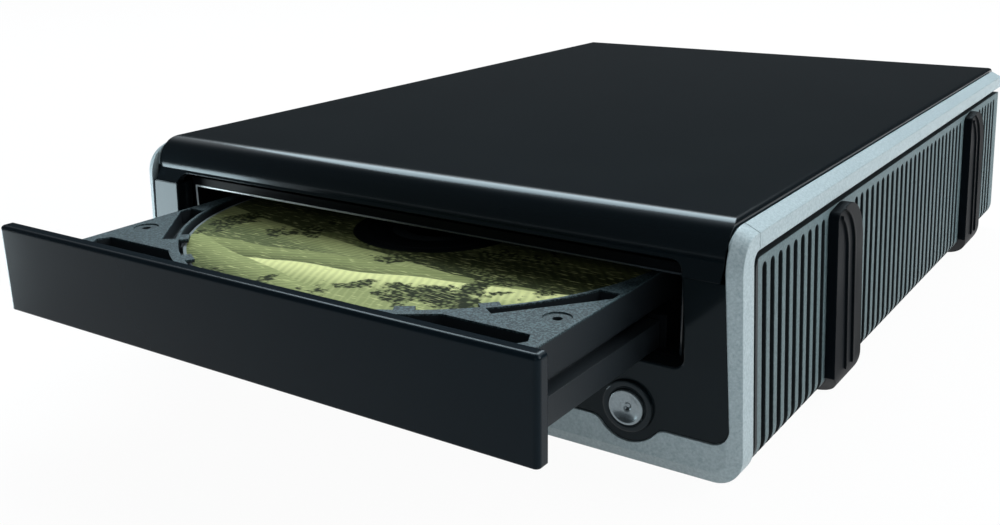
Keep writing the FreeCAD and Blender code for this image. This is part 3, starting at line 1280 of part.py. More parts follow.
def make_rack():
    """Rack along the left of the tray's underside, in mesh with the tray gear at rest."""
    pitch = math.pi * RACK_MODULE
    half = pitch / 4.0 - BACKLASH / 2.0
    slant = math.tan(math.radians(20))
    root_x = -RACK_PITCH_X - 1.25 * RACK_MODULE
    tip_x = -RACK_PITCH_X + 0.9 * RACK_MODULE
    root_half = half + 1.25 * RACK_MODULE * slant
    tip_half = half - 0.9 * RACK_MODULE * slant
    first = math.ceil((TRAY_FRONT + 16.0 - GEAR_Y) / pitch) + 0.5
    last = (TRAY_REAR - 1.0 - GEAR_Y) / pitch
    points = [(root_x - 0.6, GEAR_Y + first * pitch - pitch / 2)]
    step = first
    end_y = points[0][1]
    while step < last:
        middle = GEAR_Y + step * pitch
        points += [(root_x, middle - root_half), (tip_x, middle - tip_half),
                   (tip_x, middle + tip_half), (root_x, middle + root_half)]
        end_y = middle + pitch / 2
        step += 1
    points.append((root_x - 0.6, min(end_y, TRAY_REAR)))
    return prism_z(points, RACK_Z0, RACK_Z0 + RACK_HEIGHT)


def make_door():
    """Tall glossy tray door with a soft top edge, clipped to the front of the tray."""
    z0 = SILL_Z + DOOR_SILL
    z1 = z0 + DOOR_HEIGHT
    y1 = DOOR_Y + DOOR_T
    door = box(-DOOR_HALF, DOOR_HALF, DOOR_Y, y1, z0, z1)
    top = edge_spans(door, lambda b: b.XLength > DOOR_HALF and b.ZMin > z1 - TOUCH
                     and b.YMax < DOOR_Y + TOUCH)
    door = door.makeFillet(DOOR_TOP_R, top)
    ends = edge_spans(door, lambda b: b.YMax < DOOR_Y + TOUCH and b.XLength < TOUCH)
    door = door.makeFillet(DOOR_END_R, ends)
    low = edge_spans(door, lambda b: b.ZMax < z0 + TOUCH and b.XLength > DOOR_HALF and b.YMin < DOOR_Y + 1)
    door = door.makeFillet(DOOR_EDGE_R, low)
    keep("tray_door", door)


def make_disc():
    """The disc that lies in the tray's well."""
    disc = tube_z(0, DISC_Y, DISC_Z, DISC_Z + DISC_T, DISC_R, DISC_HOLE_R)
    keep("disc", disc)


# Spindle, clamp and pickup


def make_spindle():
    """Spindle motor on the traverse and the turntable on its shaft, in the lowered position."""
    y = SPINDLE_Y
    motor = tube_z(0, y, TRAVERSE_Z1, SPINDLE_Z1, SPINDLE_MOTOR_R, SPINDLE_SHAFT_R + RUN_FIT)
    keep("spindle_motor", motor)
    plate = tube_z(0, y, TURNTABLE_Z0, TURNTABLE_Z0 + TURNTABLE_T, TURNTABLE_R)
    cone = Part.makeCone(HUB_CONE_R, HUB_CONE_R - 1.2, HUB_CONE_H,
                         Vector(0, y, TURNTABLE_Z0 + TURNTABLE_T))
    shaft = tube_z(0, y, TRAVERSE_Z1 + 0.5, TURNTABLE_Z0, SPINDLE_SHAFT_R)
    hub = tube_z(0, y, SPINDLE_Z1 + 0.1, TURNTABLE_Z0, 5.0)
    keep("turntable", union([plate, cone, shaft, hub]))


def make_traverse():
    """Traverse plate, guide rods, rod clips, dampers and the lift cradle below."""
    right = SCREW_X + STEP_MOTOR_R + 2
    plate = box(-TRAVERSE_HALF, right, TRAVERSE_Y0, TRAVERSE_Y1, TRAVERSE_Z0, TRAVERSE_Z1)
    window = box(-18, 18, SPINDLE_Y + 17, TRAVERSE_Y1 - 8, TRAVERSE_Z0 - 1, TRAVERSE_Z1 + 1)
    plate = plate.cut(window)
    rod_y0 = SPINDLE_Y + SPINDLE_MOTOR_R + 1.7
    rod_y1 = TRAVERSE_Y1 - 3
    clips = []
    for x in (-ROD_SPREAD, ROD_SPREAD):
        for y in (rod_y0, rod_y1 - 3):
            block = box(x - 3, x + 3, y, y + 3, TRAVERSE_Z1, ROD_Z + 2.6)
            clips.append(block.cut(tube_y(x, ROD_Z, y - 1, y + 4, ROD_R + 0.02)))
    motor_y0 = screw_end()
    holder_r = STEP_MOTOR_R + 1.2
    holder = box(SCREW_X - holder_r, SCREW_X + holder_r, motor_y0 - 1.2, motor_y0, TRAVERSE_Z1,
                 ROD_Z + holder_r)
    holder = holder.cut(tube_y(SCREW_X, ROD_Z, motor_y0 - 2, motor_y0 + 1, SCREW_R + RUN_FIT))
    tip_y = motor_y0 - SCREW_LENGTH
    tip = box(SCREW_X - 3, SCREW_X + 3, tip_y, tip_y + 3, TRAVERSE_Z1, ROD_Z + 3)
    tip = tip.cut(tube_y(SCREW_X, ROD_Z, tip_y - 1, tip_y + 4, SCREW_R + RUN_FIT))
    plate = plate.cut(tube_y(SCREW_X, ROD_Z, motor_y0, TRAVERSE_Y1 + 1, STEP_MOTOR_R + 0.05))
    keep("traverse_plate", union([plate, holder, tip] + clips))
    rods = [tube_y(x, ROD_Z, rod_y0, rod_y1, ROD_R) for x in (-ROD_SPREAD, ROD_SPREAD)]
    keep("guide_rods", group(rods))
    places = [(x, y) for x in (-TRAVERSE_HALF + 5, TRAVERSE_HALF - 5)
              for y in (TRAVERSE_Y0 + 5, TRAVERSE_Y1 - 5)]
    keep("traverse_dampers", group([tube_z(x, y, CRADLE_Z1, TRAVERSE_Z0, DAMPER_R) for x, y in places]))


def make_cradle(pivot_y):
    """Lift cradle that carries the traverse, resting under the loader frame's lugs."""
    y0 = TRAVERSE_Y0 - CRADLE_LEAD
    y1 = pivot_y - 0.3
    cradle = box(-CRADLE_HALF, CRADLE_HALF, y0, y1, CRADLE_Z0, CRADLE_Z1)
    hole = box(-CRADLE_WINDOW_HALF, CRADLE_WINDOW_HALF, y0 + CRADLE_WINDOW_FRONT, y1 - CRADLE_WINDOW_REAR,
               CRADLE_Z0 - OVER, CRADLE_Z1 + OVER)
    keep("lift_cradle", cradle.cut(hole))
    slider_y1 = y0 - 0.3
    slider_y0 = LOADER_FRONT + DECK_DEPTH + 0.3
    slider_y0 = max(slider_y0, slider_y1 - SLIDER_T)
    slider_top = CRADLE_Z1 + SLIDER_HIGH
    slider = box(-SLIDER_HALF, SLIDER_HALF, slider_y0, slider_y1, DECK_Z0 - SLIDER_LOW, slider_top)
    rack_tail = box(-SLIDER_HALF, SLIDER_RACK - SLIDER_HALF, slider_y0, slider_y1, slider_top, WHEEL_Z0)
    high = DECK_Z0 - 1
    low = CRADLE_Z0 + 1
    lag = RAMP_T * 0.45
    ramp = prism_y([(-RAMP_HALF, high), (-RAMP_BEND, high), (RAMP_BEND, low), (RAMP_HALF, low),
                    (RAMP_HALF, low - RAMP_T), (RAMP_BEND + lag, low - RAMP_T),
                    (lag - RAMP_BEND, high - RAMP_T), (-RAMP_HALF, high - RAMP_T)],
                   slider_y0 - OVER, slider_y1 + OVER)
    keep("cam_slider", union([slider, rack_tail]).cut(ramp))


def screw_end():
    """Place along Y where the lead screw enters its motor."""
    return TRAVERSE_Y1 - STEP_MOTOR_L - 1


def make_pickup():
    """Pickup sled on its two rods, the lens, the lead screw and its stepping motor."""
    y0 = LENS_Y - SLED_LENGTH / 2 + 1.5
    y1 = y0 + SLED_LENGTH
    z0 = TRAVERSE_Z1 + 0.35
    z1 = z0 + SLED_HEIGHT
    body_x = ROD_SPREAD - 3.0
    core = box(-body_x, body_x, y0, y1, z0, z1)
    ears = [box(side * ROD_SPREAD - 3.2, side * ROD_SPREAD + 3.2, y, y + 4, z0, z1)
            for side in (-1, 1) for y in (y0, y1 - 4)]
    nut_y = (y0 + y1) / 2 - 3.6
    arm = box(ROD_SPREAD + 3, SCREW_X + 3, nut_y, nut_y + 6, z0, z1)
    link = box(ROD_SPREAD - 3.2, ROD_SPREAD + 3.2, nut_y, nut_y + 6, z0, z1)
    turret = tube_z(0, LENS_Y, z1, z1 + 1.2, 5.5)
    sled = union([core, arm, link, turret] + ears)
    for x in (-ROD_SPREAD, ROD_SPREAD):
        sled = sled.cut(tube_y(x, ROD_Z, y0 - 1, y1 + 1, ROD_R + RUN_FIT))
    sled = sled.cut(tube_y(SCREW_X, ROD_Z, y0 - 1, y1 + 1, SCREW_R + RUN_FIT))
    sled = sled.cut(tube_z(0, LENS_Y, z1 - 0.5, z1 + 2, LENS_R))
    keep("pickup_sled", sled)
    lens = tube_z(0, LENS_Y, z1 - 0.5, z1 + 1.2, LENS_R)
    cap = Part.makeSphere(2 * LENS_R, Vector(0, LENS_Y, z1 + 1.2 - 2 * LENS_R * math.cos(math.radians(30))))
    dome = cap.common(box(-5, 5, LENS_Y - 5, LENS_Y + 5, z1 + 1.2, z1 + 5))
    keep("pickup_lens", union([lens, dome]))
    motor_y = screw_end()
    screw = tube_y(SCREW_X, ROD_Z, motor_y - SCREW_LENGTH, motor_y + 3, SCREW_R)
    keep("lead_screw", screw)
    motor = tube_y(SCREW_X, ROD_Z, motor_y, motor_y + STEP_MOTOR_L, STEP_MOTOR_R)
    keep("sled_motor", motor.cut(tube_y(SCREW_X, ROD_Z, motor_y - 1, motor_y + 3.3, SCREW_R + RUN_FIT)))


def make_clamp():
    """Steel bridge over the disc and the loose clamp puck that hangs in it."""
    top = BRIDGE_Z1
    low = BRIDGE_Z0
    y0 = SPINDLE_Y - BRIDGE_WIDTH / 2
    y1 = y0 + BRIDGE_WIDTH
    half = MECH_HALF - SHEET - 0.1
    bridge = box(-half, half, y0, y1, low, top)
    bridge = bridge.cut(tube_z(0, SPINDLE_Y, low - 1, top + 1, PUCK_NECK_R + PUCK_HANG))
    keep("clamp_bridge", bridge)
    flange = tube_z(0, SPINDLE_Y, top + 0.02, top + 0.02 + 0.7, PUCK_FLANGE_R)
    neck = tube_z(0, SPINDLE_Y, low - PUCK_HANG, top + 0.02, PUCK_NECK_R)
    plate = tube_z(0, SPINDLE_Y, low - PUCK_HANG - PUCK_T, low - PUCK_HANG, PUCK_R)
    keep("clamp_puck", union([flange, neck, plate]))


# Electronics


def chip(x, y, z, length, width, height):
    return box(x - length / 2, x + length / 2, y - width / 2, y + width / 2, z, z + height)


def make_boards():
    """Drive board under the traverse, bridge board at the rear, and what is soldered to them."""
    z0 = MECH_Z0 + SHEET + BOARD_LIFT
    z1 = z0 + BOARD_T
    y0 = DRIVE_BOARD_FRONT
    y1 = y0 + DRIVE_BOARD_DEPTH
    keep("drive_board", box(-DRIVE_BOARD_HALF, DRIVE_BOARD_HALF, y0, y1, z0, z1))
    parts = [chip(x, y0 + y, z1, width, length, height) for x, y, width, length, height in DRIVE_CHIPS]
    parts += [tube_z(x, y0 + y, z1, z1 + height, radius) for x, y, radius, height in DRIVE_CANS]
    parts.append(box(PLUG_LEFT + PLUG_FIT, PLUG_RIGHT - PLUG_FIT, y1 - PLUG_TAIL, y1,
                     z1, z1 + PLUG_HEIGHT - PLUG_FIT))
    keep("drive_board_parts", group(parts))
    stand_x = DRIVE_BOARD_HALF - STANDOFF_INSET
    stands = [tube_z(x, y, MECH_Z0 + SHEET, z0, STANDOFF_R) for x in (-stand_x, stand_x)
              for y in (y0 + STANDOFF_INSET, y1 - STANDOFF_INSET)]
    keep("board_standoffs", group(stands))
    bridge_z0 = bridge_board_z()
    bridge_z1 = bridge_z0 + BOARD_T
    board = box(BRIDGE_BOARD_LEFT, BRIDGE_BOARD_RIGHT, BRIDGE_BOARD_FRONT, bridge_board_rear(),
                bridge_z0, bridge_z1)
    for x, y in board_screw_places():
        board = board.cut(tube_z(x, y, bridge_z0 - 1, bridge_z1 + 1, SCREW_SHANK_R + RUN_FIT))
    keep("bridge_board", board)
    extras = [chip(x, BRIDGE_BOARD_FRONT + y, bridge_z1, width, length, height)
              for x, y, width, length, height in BRIDGE_CHIPS]
    extras += [tube_z(x, BRIDGE_BOARD_FRONT + y, bridge_z1, bridge_z1 + height, radius)
               for x, y, radius, height in BRIDGE_CANS]
    keep("bridge_board_parts", group(extras))
    x0, x1, low, high = connector_window()
    plug = box(x0 + PLUG_FIT, x1 - PLUG_FIT, y1, BRIDGE_BOARD_FRONT + PLUG_OVERLAP, bridge_z1, high - PLUG_FIT)
    keep("drive_connector", plug)


def make_ports():
    """Rear sockets and the power switch."""
    z = port_z()
    rear = SHELL_DEPTH - REAR_INSET
    usb = box(USB_X - USB_WIDTH / 2, USB_X + USB_WIDTH / 2, rear - USB_DEPTH, rear + 0.3, z, z + USB_HEIGHT)
    mouth_half = USB_WIDTH / 2 - 1.7
    mouth = box(USB_X - mouth_half, USB_X + mouth_half, rear - 9, rear + 1, z + 1.6, z + USB_HEIGHT - 1.6)
    tongue = box(USB_X - 2.8, USB_X + 2.8, rear - 9.5, rear - 1, z + USB_HEIGHT / 2 - 1.5,
                 z + USB_HEIGHT / 2 + 1.5)
    keep("usb_socket", union([usb.cut(mouth), tongue]))
    jack = box(JACK_X - JACK_WIDTH / 2, JACK_X + JACK_WIDTH / 2, rear - JACK_DEPTH, rear + 0.3, z,
               z + JACK_HEIGHT)
    bore_z = z + JACK_HEIGHT / 2 + 0.5
    jack = jack.cut(tube_y(JACK_X, bore_z, rear - 9, rear + 1, JACK_BORE_R))
    pin = tube_y(JACK_X, bore_z, rear - 9.5, rear - 1, JACK_PIN_R)
    keep("dc_jack", union([jack, pin]))
    make_power_switch(z, rear)


def make_power_switch(z, rear):
    """Rocker switch: a housing with a pivoting rocker in its mouth."""
    half = SWITCH_WIDTH / 2
    top = z + SWITCH_HEIGHT
    housing = box(SWITCH_X - half, SWITCH_X + half, rear - SWITCH_DEPTH, rear + 0.1, z, top)
    bezel = box(SWITCH_X - half - 1.2, SWITCH_X + half + 1.2, rear + 0.05, rear + 1.2, z - 1.2, top + 1.2)
    mouth = box(SWITCH_X - half + 1.5, SWITCH_X + half - 1.5, rear - 7, rear + 3, z + 1.5, top - 1.5)
    pivot_y = rear - 2.0
    pivot_z = (z + top) / 2
    hole = pin_x(SWITCH_X, pivot_y, pivot_z, SWITCH_WIDTH - 0.4, ROCKER_PIN_R + RUN_FIT)
    keep("power_switch", union([housing, bezel]).cut(mouth).cut(hole))
    length = SWITCH_HEIGHT / 2 - 2.3
    deep = 3.2
    lean = math.radians(ROCKER_TILT / 2)
    outline = [(-deep, -length + 0.8), (-deep, length - 0.8), (1.4, length - 0.1), (2.4, length - 0.5),
               (1.5, 0.0), (2.4, -length + 0.5), (1.4, -length + 0.1)]
    turned = []
    for y, dz in outline:
        turned.append((pivot_y + y * math.cos(lean) - dz * math.sin(lean),
                       pivot_z + y * math.sin(lean) + dz * math.cos(lean)))
    rocker = prism_x(turned, SWITCH_X - half + 1.6, SWITCH_X + half - 1.6)
    pin = pin_x(SWITCH_X, pivot_y, pivot_z, SWITCH_WIDTH - 1.0, ROCKER_PIN_R)
    keep("power_rocker", union([rocker, pin]))


def pin_x(x, y, z, length, radius):
    """A pin lying along X, centred on a point."""
    return Part.makeCylinder(radius, length, Vector(x - length / 2, y, z), Vector(1, 0, 0))


# Fasteners


def screw_up(x, y, z):
    """Pan head screw driven upwards from a face at height z."""
    head = tube_z(x, y, z, z + SCREW_HEAD_H, SCREW_HEAD_R)
    shank = tube_z(x, y, z + SCREW_HEAD_H, z + SCREW_HEAD_H + SCREW_SHANK_L, SCREW_SHANK_R)
    return union([head, shank])


def make_screws(base_z0):
    """Screws from the base into the case, and on the bridge board."""
    up = [screw_up(x, y, base_z0 + RUN_FIT) for x, y in case_screw_places()]
    keep("base_screws", group(up))
    board = []
    for x, y in board_screw_places():
        z = bridge_board_z() + BOARD_T
        head = tube_z(x, y, z, z + SCREW_HEAD_H, SCREW_HEAD_R)
        shank = tube_z(x, y, z - 6.0, z, SCREW_SHANK_R)
        board.append(union([head, shank]))
    keep("board_screws", group(board))


def build():
    """Make every piece in the order in which it would be assembled."""
    make_frame()
    make_rails()
    make_cover()
    guide_back = make_front_panel()
    stem_back = make_button(guide_back)
    make_eject_switch(stem_back)
    panel_inner_x = make_side_panels()
    make_feet()
    base_z0 = make_base(panel_inner_x)
    make_rear_panel()
    make_mech_case()
    pivot_y = make_loader_frame()
    make_gears()
    make_loading_motor()
    make_tray()
    make_door()
    make_disc()
    make_spindle()
    make_traverse()
    make_cradle(pivot_y)
    make_pickup()
    make_clamp()
    make_boards()
    make_ports()
    make_screws(base_z0)


def export():
    """Write one STEP file for each piece."""
    os.makedirs("parts", exist_ok=True)
    for name, shape in NODES.items():
        shape.exportStep("parts/" + name + ".step")
        print(name, len(shape.Solids), round(shape.Volume / 1000.0, 2), "cm3")


build()
export()
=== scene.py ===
import logging
import math
from dataclasses import dataclass, field
from enum import Enum

import bpy
from mathutils import Matrix, Vector


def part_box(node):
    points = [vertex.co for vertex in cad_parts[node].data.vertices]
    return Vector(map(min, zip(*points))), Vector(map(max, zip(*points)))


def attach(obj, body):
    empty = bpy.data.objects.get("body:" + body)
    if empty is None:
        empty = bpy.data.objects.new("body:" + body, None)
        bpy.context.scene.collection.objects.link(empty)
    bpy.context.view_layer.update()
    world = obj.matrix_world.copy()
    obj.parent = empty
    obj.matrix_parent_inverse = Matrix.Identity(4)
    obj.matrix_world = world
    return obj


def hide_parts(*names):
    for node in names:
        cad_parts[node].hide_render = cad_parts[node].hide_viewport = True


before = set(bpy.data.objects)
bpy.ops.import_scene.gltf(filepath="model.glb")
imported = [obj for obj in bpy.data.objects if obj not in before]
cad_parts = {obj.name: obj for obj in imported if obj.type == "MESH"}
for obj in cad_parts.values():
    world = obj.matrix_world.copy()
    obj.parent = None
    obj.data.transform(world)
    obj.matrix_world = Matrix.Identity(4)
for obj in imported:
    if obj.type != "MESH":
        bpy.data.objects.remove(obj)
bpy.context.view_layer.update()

logging.basicConfig(level=logging.INFO, format="%(message)s")
LOG = logging.getLogger("disc_drive")

Tree = bpy.types.NodeTree
Socket = bpy.types.NodeSocket
Value = float | Socket                     # a number, or the socket that gives it
Colour = tuple[float, float, float, float] | Socket
Outline = list[tuple[float, float]]        # radius and height in mm

MM = 0.001
CENTRE_Y = 93.25          # the row frame's origin, behind the front panel, in mm
WELD = 1e-6               # points nearer than this are made one, in metres
SEAM = 1e-7               # the same where a turn closes
SMOOTH_DEG = 35.0         # edges sharper than this stay crisp


def linear(code: str) -> tuple[float, float, float, float]:
    """Turn an sRGB hex colour into linear light.

    Args:
        code: six hex digits after a hash sign.

    Returns:
        Linear red, green, blue and an alpha of 1.
    """
    parts = [int(code[i:i + 2], 16) / 255.0 for i in (1, 3, 5)]
    low = [p / 12.92 if p <= 0.04045 else ((p + 0.055) / 1.055) ** 2.4 for p in parts]
    return (low[0], low[1], low[2], 1.0)


def place(x: float, y: float, z: float) -> Vector:
    """A point given in mm from the front panel and the desk, in metres in the row frame."""
    return Vector((x * MM, (y - CENTRE_Y) * MM, z * MM))


def add_node(tree: Tree, kind: str, inputs: dict | None = None, **settings) -> bpy.types.Node:
    """Add one shader node.

    Args:
        tree: the tree that gets the node.
        kind: the node's type name.
        inputs: values or source sockets by input name or number.
        settings: the node's own properties.

    Returns:
        The new node.
    """
    node = tree.nodes.new(kind)
    for name, value in settings.items():
        setattr(node, name, value)
    for key, value in (inputs or {}).items():
        socket = node.inputs[key]
        if isinstance(value, Socket):
            tree.links.new(value, socket)
        else:
            socket.default_value = value
    return node


def calc(tree: Tree, operation: str, *values: Value) -> Socket:
    """Result of one arithmetic step on numbers or sockets."""
    node = add_node(tree, "ShaderNodeMath", dict(enumerate(values)), operation=operation)
    return node.outputs[0]


def blend_colours(tree: Tree, share: Value, first: Colour, second: Colour) -> Socket:
    """Mix two colours.

    Args:
        tree: the tree that gets the node.
        share: how much of the second colour shows, a number or a socket.
        first: a colour or a socket.
        second: a colour or a socket.

    Returns:
        The mixed colour's socket.
    """
    node = add_node(tree, "ShaderNodeMix", {0: share, 6: first, 7: second}, data_type="RGBA")
    return node.outputs[2]


def distance(tree: Tree, across: Value, along: Value) -> Socket:
    """Length of the diagonal of two lengths, each a number or a socket."""
    return calc(tree, "SQRT", calc(tree, "ADD", calc(tree, "MULTIPLY", across, across),
                                   calc(tree, "MULTIPLY", along, along)))


def step(tree: Tree, value: Value, low: float, high: float) -> Socket:
    """A soft step from 0 at low to 1 at high."""
    node = add_node(tree, "ShaderNodeMapRange", {0: value, 1: low, 2: high, 3: 0.0, 4: 1.0},
                    interpolation_type="SMOOTHSTEP")
    return node.outputs[0]


@dataclass(frozen=True)
class Moulding:
    """A moulded, painted or rubber surface with a fine grain and slightly broken edges."""

    name: str
    colour: str
    tint: str                     # second colour, which the grain brings in
    roughness: float
    metallic: float = 0.0
    ior: float = 1.5
    shine: float = 0.5            # strength of the mirror reflection, 0.5 for plain plastic
    shine_tint: str = "#FFFFFF"
    grain_mm: float = 0.5         # spacing of the grain, as coarse as it needs to show
    grain_mix: float = 0.5        # how far the grain carries the tint
    relief_mm: float = 0.004      # height of the grain
    wear_mm: float = 30.0         # spacing of the broad changes in gloss
    wear: float = 0.1             # how much the gloss changes
    edge_mm: float = 0.25         # radius of the broken edges
    coat: float = 0.0             # clear layer over the colour

    def colour_socket(self, tree: Tree, point: Socket, grain: Socket) -> Socket:
        """Base colour: the tint comes through in the grain.

        Args:
            tree: the material's tree.
            point: the Object coordinates; not used here.
            grain: the grain's strength, 0 to 1.

        Returns:
            The colour's socket.
        """
        share = calc(tree, "MULTIPLY", grain, self.grain_mix)
        return blend_colours(tree, share, linear(self.colour), linear(self.tint))

    def material(self) -> bpy.types.Material:
        """Build the material once and return it."""
        made = bpy.data.materials.get(self.name)
        if made:
            return made
        made = bpy.data.materials.new(self.name)
        made.use_nodes = True
        made.diffuse_color = linear(self.colour)
        tree = made.node_tree
        tree.nodes.clear()
        point = add_node(tree, "ShaderNodeTexCoord").outputs["Object"]
        noise = add_node(tree, "ShaderNodeTexNoise",
                         {"Vector": point, "Scale": 1.0 / (self.grain_mm * MM), "Detail": 2.0,
                          "Roughness": 0.6})
        grain = noise.outputs[0]
        broad = add_node(tree, "ShaderNodeTexNoise",
                         {"Vector": point, "Scale": 1.0 / (self.wear_mm * MM), "Detail": 3.0})
        rough = add_node(tree, "ShaderNodeMapRange",
                         {0: broad.outputs[0], 1: 0.3, 2: 0.7,
                          3: max(self.roughness * (1 - self.wear), 0.02),
                          4: self.roughness * (1 + self.wear)})
        edge = add_node(tree, "ShaderNodeBevel", {"Radius": self.edge_mm * MM}, samples=4)
        bump = add_node(tree, "ShaderNodeBump", {"Strength": 1.0, "Distance": self.relief_mm * MM,
                                                 "Height": grain, "Normal": edge.outputs[0]})
        shader = add_node(tree, "ShaderNodeBsdfPrincipled",
                          {"Base Color": self.colour_socket(tree, point, grain),
                           "Roughness": rough.outputs[0], "Metallic": self.metallic, "IOR": self.ior,
                           "Specular IOR Level": self.shine, "Specular Tint": linear(self.shine_tint),
                           "Coat Weight": self.coat, "Normal": bump.outputs[0]})
        add_node(tree, "ShaderNodeOutputMaterial", {"Surface": shader.outputs[0]})
        return made


@dataclass(frozen=True)
class RibbedMoulding(Moulding):
    """Grey textured panel whose sunken slots and outer rim are dark."""

    slot_colour: str = "#0C0F11"
    slot_tint: str = "#232A2E"
    top_half_mm: float = 84.2     # half width of the body at the top of the trim
    top_mm: float = 55.2
    lean: float = 2.8 / 52.7      # outward lean of the side going down
    corner_mm: float = 6.0        # radius of the body's lower corner
    low_mm: float = 2.5           # the body's underside above the desk
    slot_from_mm: float = 0.52    # depth at which the slot's dark wall starts
    slot_blur_mm: float = 0.06    # half the width of that step
    front_mm: float = 8.8         # place of the panel's front edge
    rim_mm: float = 1.2           # dark rim behind that edge
    rim_blur_mm: float = 0.15

    def colour_socket(self, tree: Tree, point: Socket, grain: Socket) -> Socket:
        """Light on the ribs and dark below them, by the depth under the body's outer form."""
        parts = add_node(tree, "ShaderNodeSeparateXYZ", {0: point})
        z = parts.outputs[2]
        across = calc(tree, "ABSOLUTE", parts.outputs[0])
        side = calc(tree, "MULTIPLY_ADD", z, -self.lean,
                    (self.top_half_mm + self.lean * self.top_mm - self.corner_mm) * MM)
        out = calc(tree, "MAXIMUM", calc(tree, "SUBTRACT", across, side), 0.0)
        down = calc(tree, "MAXIMUM", calc(tree, "SUBTRACT", (self.low_mm + self.corner_mm) * MM, z), 0.0)
        reach = distance(tree, out, down)
        depth = calc(tree, "SUBTRACT", self.corner_mm * MM, reach)
        sunk = step(tree, depth, (self.slot_from_mm - self.slot_blur_mm) * MM,
                    (self.slot_from_mm + self.slot_blur_mm) * MM)
        share = calc(tree, "MULTIPLY", grain, self.grain_mix)
        light = blend_colours(tree, share, linear(self.colour), linear(self.tint))
        dark = blend_colours(tree, share, linear(self.slot_colour), linear(self.slot_tint))
        front = (self.front_mm + self.rim_mm - CENTRE_Y) * MM
        rim = step(tree, parts.outputs[1], front + self.rim_blur_mm * MM, front - self.rim_blur_mm * MM)
        return blend_colours(tree, calc(tree, "MAXIMUM", sunk, rim), light, dark)


@dataclass(frozen=True)
class TrayMoulding(Moulding):
    """Speckled grey plate; the same plastic below it is painted in shade."""

    # painted shade: the plate's own plastic, darkened on the walls and in the pockets
    painted_shade_colour: str = "#1A1F23"
    painted_shade_tint: str = "#242A2E"
    plate_mm: float = 41.4        # height of the top plate
    plate_from_mm: float = 0.5    # the plate's colour starts this far below it
    plate_full_mm: float = 0.2
    speck_from: float = 0.42      # the grain's strength at which a pale speck starts
    speck_full: float = 0.62

    def colour_socket(self, tree: Tree, point: Socket, grain: Socket) -> Socket:
        """Light and speckled on the top plate; painted shade on the walls and in the pockets."""
        height = add_node(tree, "ShaderNodeSeparateXYZ", {0: point}).outputs[2]
        # painted shade: below the plate's height the colour turns dark
        top = step(tree, height, (self.plate_mm - self.plate_from_mm) * MM,
                   (self.plate_mm - self.plate_full_mm) * MM)
        speck = step(tree, grain, self.speck_from, self.speck_full)
        light = blend_colours(tree, speck, linear(self.colour), linear(self.tint))
        dark = blend_colours(tree, grain, linear(self.painted_shade_colour), linear(self.painted_shade_tint))
        return blend_colours(tree, top, dark, light)


@dataclass(frozen=True)
class PaintedHighlightEdge(Moulding):
    """Moulded edge with a painted highlight: bright on the left, and fading towards the right."""

    highlight_fade_from_mm: float = -48.0      # where the painted highlight starts to fade
    highlight_gone_mm: float = 12.0         # where it has gone
    faded_highlight_colour: str = "#2A3136"

    def colour_socket(self, tree: Tree, point: Socket, grain: Socket) -> Socket:
        """Painted highlight that fades along the edge."""
        across = add_node(tree, "ShaderNodeSeparateXYZ", {0: point}).outputs[0]
        # painted highlight: the pale colour gives way to a dim grey along x
        dull = step(tree, across, self.highlight_fade_from_mm * MM, self.highlight_gone_mm * MM)
        bright = blend_colours(tree, grain, linear(self.colour), linear(self.tint))
        return blend_colours(tree, dull, bright, linear(self.faded_highlight_colour))


@dataclass(frozen=True)
class CircuitBoard(Moulding):
    """Green solder mask with copper runs under it."""

    run_mm: float = 1.3           # spacing of the copper runs
    cell_runs: int = 8            # runs to a cell of the pattern
    run_share: float = 0.03       # width of a run's line in its cell

    def colour_socket(self, tree: Tree, point: Socket, grain: Socket) -> Socket:
        """Thin lighter runs in right-angled cells on the green mask."""
        cells = add_node(tree, "ShaderNodeTexBrick",
                         {"Vector": point, "Scale": 1.0 / (self.run_mm * self.cell_runs * MM),
                          "Mortar Size": self.run_share,
                          "Color1": linear(self.colour), "Color2": linear(self.colour),
                          "Mortar": linear(self.tint)})
        return cells.outputs[0]


@dataclass(frozen=True)
class Hill:
    """One furrowed hill of the disc's picture."""

    crest: str                    # colour at its crest
    below: str                    # colour at its foot
    level_mm: float               # place of its crest
    slope: float                  # how the crest climbs to the right
    swell_mm: float               # how far the crest rises and falls
    seed: float
    turn: float                   # turn of its furrows


